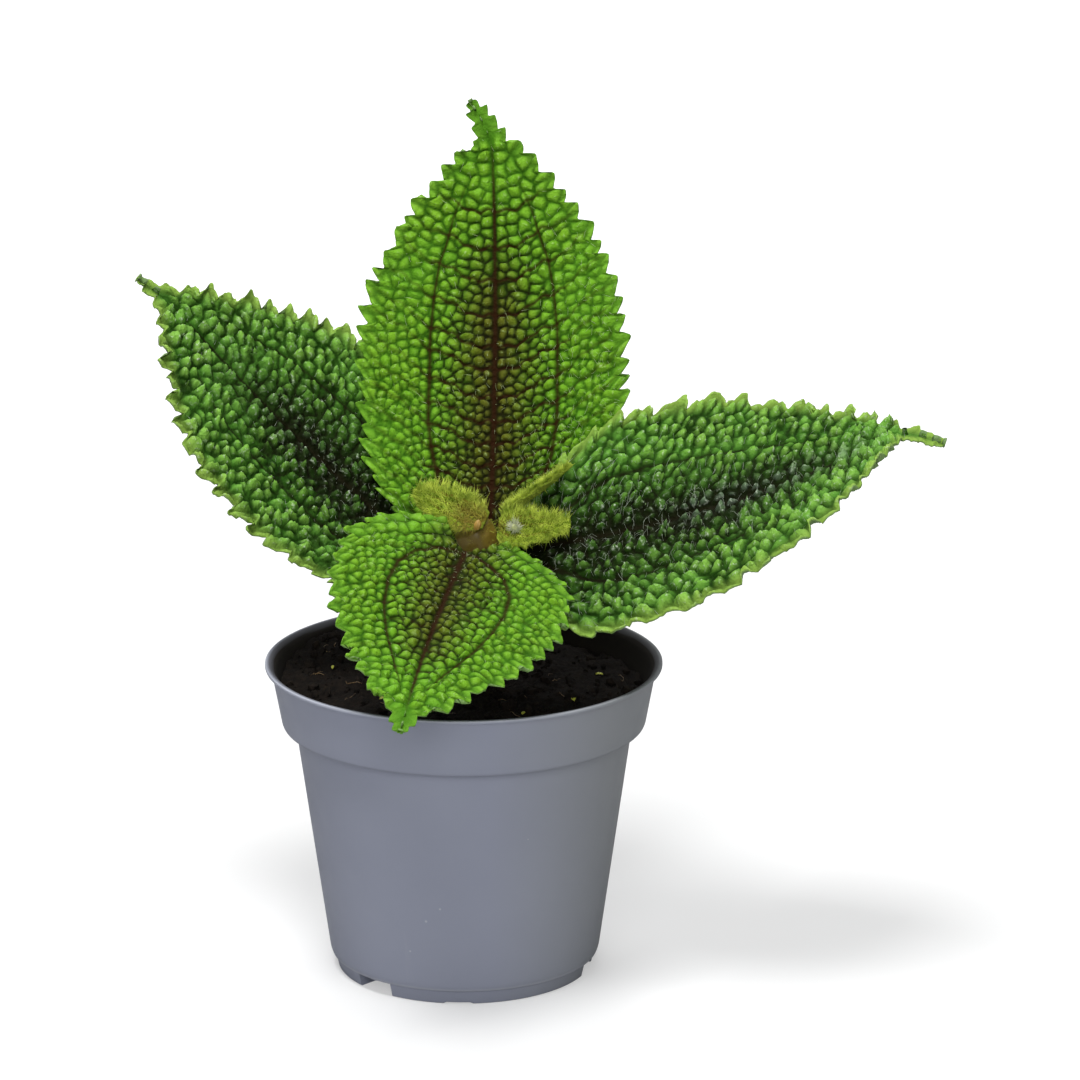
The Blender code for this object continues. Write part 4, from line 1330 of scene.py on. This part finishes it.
def tuft(name, points, centre, count, length, seed, material):
    chance = np.random.default_rng(seed)
    pick = chance.integers(0, len(points), count)
    roots = points[pick]
    out = unit(roots - np.array(centre))
    reach = chance.uniform(0.5, 1.1, (count, 1)) * length
    way = out + np.array([0.0, -0.1, 0.35]) + chance.normal(0.0, 0.25, (count, 3))
    tips = roots + way * reach
    bends = roots + way * reach * 0.5 + chance.normal(0.0, 0.06, (count, 3))
    hair_object(name, roots, tips, bends, STALK_HAIR_RADIUS, material)


# ---------------------------------------------------------------- build

light_leaf = leaf_material("leaf_light", LIGHT_LOOK)
dark_leaf = leaf_material("leaf_dark", DARK_LOOK)
young_leaf = leaf_material("leaf_young", YOUNG_LOOK)
pale_hair = fuzz_material("hair_pale", srgb(150, 170, 110), srgb(200, 210, 170))
grey_hair = fuzz_material("hair_grey", srgb(130, 140, 120), srgb(190, 198, 185))
young_hair = fuzz_material("hair_young", srgb(82, 108, 8), srgb(202, 218, 84), 0.8)
tip_hair = fuzz_material("hair_tip", srgb(152, 160, 122), srgb(206, 208, 184))
stem_skin = stalk_material("stem_skin", srgb(92, 76, 22), srgb(122, 104, 34), srgb(70, 50, 16))
stalk_skin = stalk_material("stalk_skin", srgb(92, 108, 34), srgb(128, 140, 52), srgb(90, 60, 30))
scale_skin = stalk_material("scale_skin", srgb(150, 118, 52), srgb(182, 150, 76), srgb(110, 80, 34))
bud_skin = stalk_material("bud_skin", srgb(150, 160, 92), srgb(180, 186, 128), srgb(120, 130, 60))

make_pot()
make_soil(soil_material("peat_mix", 0), soil_material("peat_lump", 8))
make_fibres(stalk_material("peat_fibre", srgb(58, 42, 26), srgb(120, 96, 62), srgb(40, 30, 20)))
make_bits(stalk_material("peat_fleck", srgb(150, 160, 50), srgb(196, 196, 84), srgb(110, 100, 40)))

for leaf in ("leaf_back", "leaf_front"):
    make_leaf(leaf, light_leaf)
    leaf_hairs(leaf, pale_hair)
for leaf in ("leaf_left", "leaf_right"):
    make_leaf(leaf, dark_leaf)
    leaf_hairs(leaf, grey_hair)
for leaf in ("young_leaf_left", "young_leaf_right", "young_leaf_rear"):
    make_leaf(leaf, young_leaf)
    leaf_hairs(leaf, young_hair, fluffy=True)

stem_line = make_tube("stem_flesh", STEM, 40, 16, 3.0, stem_skin, ("stem",))
tube_hairs("stem_hairs", stem_line, 900, 0.7, 101, young_hair)
for order, (leaf, start) in enumerate(STALKS.items()):
    spec = BLADES[leaf]
    rib = midrib(spec)
    ends = []
    for t in (0.0, 0.07, 0.16):
        radius = STALK_END_RADIUS * (1.0 - 2.5 * t)
        depth = radius + 0.35 * spec["height"] + spec["skin"] + 0.3
        under = along_rib(rib[0], np.array(t)) - along_rib(rib[2], np.array(t)) * depth
        ends.append((*under, radius))
    title = leaf.replace("leaf", "petiole")
    line = make_tube(title + "_flesh", (*start, *ends), 24, 12, 5.0 + order, stalk_skin, (title,))
    tube_hairs(title + "_hairs", line, 450, 0.7, 111 + order, young_hair)

BUD_CENTRE = (7.7, -4.25, 70.1)
SCALE_CENTRE = (2.2, -4.35, 70.5)
bud = make_bud(
    "shoot_bud", BUD_CENTRE, (0.55, 0.4, 0.55), 0.0, bud_skin, "shoot_tip", 1,
)
tuft("shoot_tuft", bud, BUD_CENTRE, 200, 0.9, 121, tip_hair)
make_bud("bud_scale", SCALE_CENTRE, (0.55, 0.4, 0.85), 14.0, scale_skin, "stipule", 2)


# ---------------------------------------------------------------- stage, light, camera


WHITE = (1.0, 1.0, 1.0, 1.0)
SKY = (0.96, 0.98, 1.0, 1.0)
SKY_STRENGTH = 0.20
# Lamps: place and target in metres, side of the square, power in watts
LAMPS = {
    "key": ((-0.13, -0.28, 1.0), (0.0, 0.0, 0.06), 0.32, 9.5),
    "front": ((-0.03, -1.1, 0.5), (0.0, 0.0, 0.05), 0.6, 6.5),
    "back": ((0.0, 0.45, 1.0), (0.0, 0.0, 0.08), 0.4, 4.5),
}
# The floor, in metres: half its side, and how far it lies below the pot
FLOOR_HALF = 6.0
FLOOR_DROP = 0.00002
FLOOR_GREY = (0.5, 0.5, 0.5, 1.0)
# Its glow makes up for the lamps' fall-off, so the bare floor is one even white
GLOW_NEAR = 0.42
GLOW_FAR = 0.95
GLOW_NEAR_REACH = 0.12
GLOW_FAR_REACH = 0.60


def add_node(tree, kind, **inputs):
    node = tree.nodes.new(kind)
    for key, value in inputs.items():
        node.inputs[key.replace("_", " ")].default_value = value
    return node


def make_floor():
    shape = bmesh.new()
    bmesh.ops.create_grid(shape, x_segments=1, y_segments=1, size=FLOOR_HALF)
    floor = linked("floor", shape)
    floor.location.z = -FLOOR_DROP
    material = bpy.data.materials.new("floor")
    material.use_nodes = True
    tree = material.node_tree
    tree.nodes.clear()
    out = add_node(tree, "ShaderNodeOutputMaterial")
    diffuse = add_node(tree, "ShaderNodeBsdfDiffuse", Color=FLOOR_GREY)
    glow = add_node(tree, "ShaderNodeEmission", Color=WHITE)
    path = add_node(tree, "ShaderNodeLightPath")
    place = add_node(tree, "ShaderNodeTexCoord")
    away = add_node(tree, "ShaderNodeVectorMath")
    away.operation = "LENGTH"
    level = add_node(
        tree, "ShaderNodeMapRange", From_Min=GLOW_NEAR_REACH, From_Max=GLOW_FAR_REACH,
        To_Min=GLOW_NEAR, To_Max=GLOW_FAR,
    )
    seen = add_node(tree, "ShaderNodeMath")
    seen.operation = "MULTIPLY"
    add = add_node(tree, "ShaderNodeAddShader")
    for source, into in (
        (place.outputs["Object"], away.inputs[0]),
        (away.outputs["Value"], level.inputs["Value"]),
        (path.outputs["Is Camera Ray"], seen.inputs[0]),
        (level.outputs["Result"], seen.inputs[1]),
        (seen.outputs[0], glow.inputs["Strength"]),
        (diffuse.outputs[0], add.inputs[0]),
        (glow.outputs[0], add.inputs[1]),
        (add.outputs[0], out.inputs["Surface"]),
    ):
        tree.links.new(source, into)
    floor.data.materials.append(material)


def make_world():
    world = bpy.data.worlds.new("studio")
    bpy.context.scene.world = world
    world.use_nodes = True
    tree = world.node_tree
    tree.nodes.clear()
    out = add_node(tree, "ShaderNodeOutputWorld")
    light = add_node(tree, "ShaderNodeBackground", Color=SKY, Strength=SKY_STRENGTH)
    white = add_node(tree, "ShaderNodeBackground", Color=WHITE, Strength=1.0)
    path = add_node(tree, "ShaderNodeLightPath")
    mix = add_node(tree, "ShaderNodeMixShader")
    for source, into in (
        (path.outputs["Is Camera Ray"], mix.inputs["Fac"]),
        (light.outputs[0], mix.inputs[1]),
        (white.outputs[0], mix.inputs[2]),
        (mix.outputs[0], out.inputs["Surface"]),
    ):
        tree.links.new(source, into)


def add_lamp(name, place, target, size, power):
    lamp = bpy.data.lights.new(name, "AREA")
    lamp.shape = "SQUARE"
    lamp.size = size
    lamp.energy = power
    made = bpy.data.objects.new(name, lamp)
    made.location = place
    way = Vector(target) - Vector(place)
    made.rotation_euler = way.to_track_quat("-Z", "Y").to_euler()
    bpy.context.scene.collection.objects.link(made)


def make_camera():
    pitch = math.radians(CAMERA_PITCH)
    way = Vector((0.0, math.cos(pitch), -math.sin(pitch)))
    data = bpy.data.cameras.new("camera")
    data.lens = CAMERA_LENS
    data.sensor_width = 36.0
    data.clip_start = 0.05
    camera = bpy.data.objects.new("camera", data)
    camera.location = (Vector(CAMERA_TARGET) - way * CAMERA_DISTANCE) * MM
    camera.rotation_euler = (math.radians(90.0 - CAMERA_PITCH), 0.0, 0.0)
    bpy.context.scene.collection.objects.link(camera)
    bpy.context.scene.camera = camera


make_floor()
make_world()
for lamp, values in LAMPS.items():
    add_lamp(lamp, *values)
make_camera()
bpy.context.scene.view_settings.view_transform = "Standard"
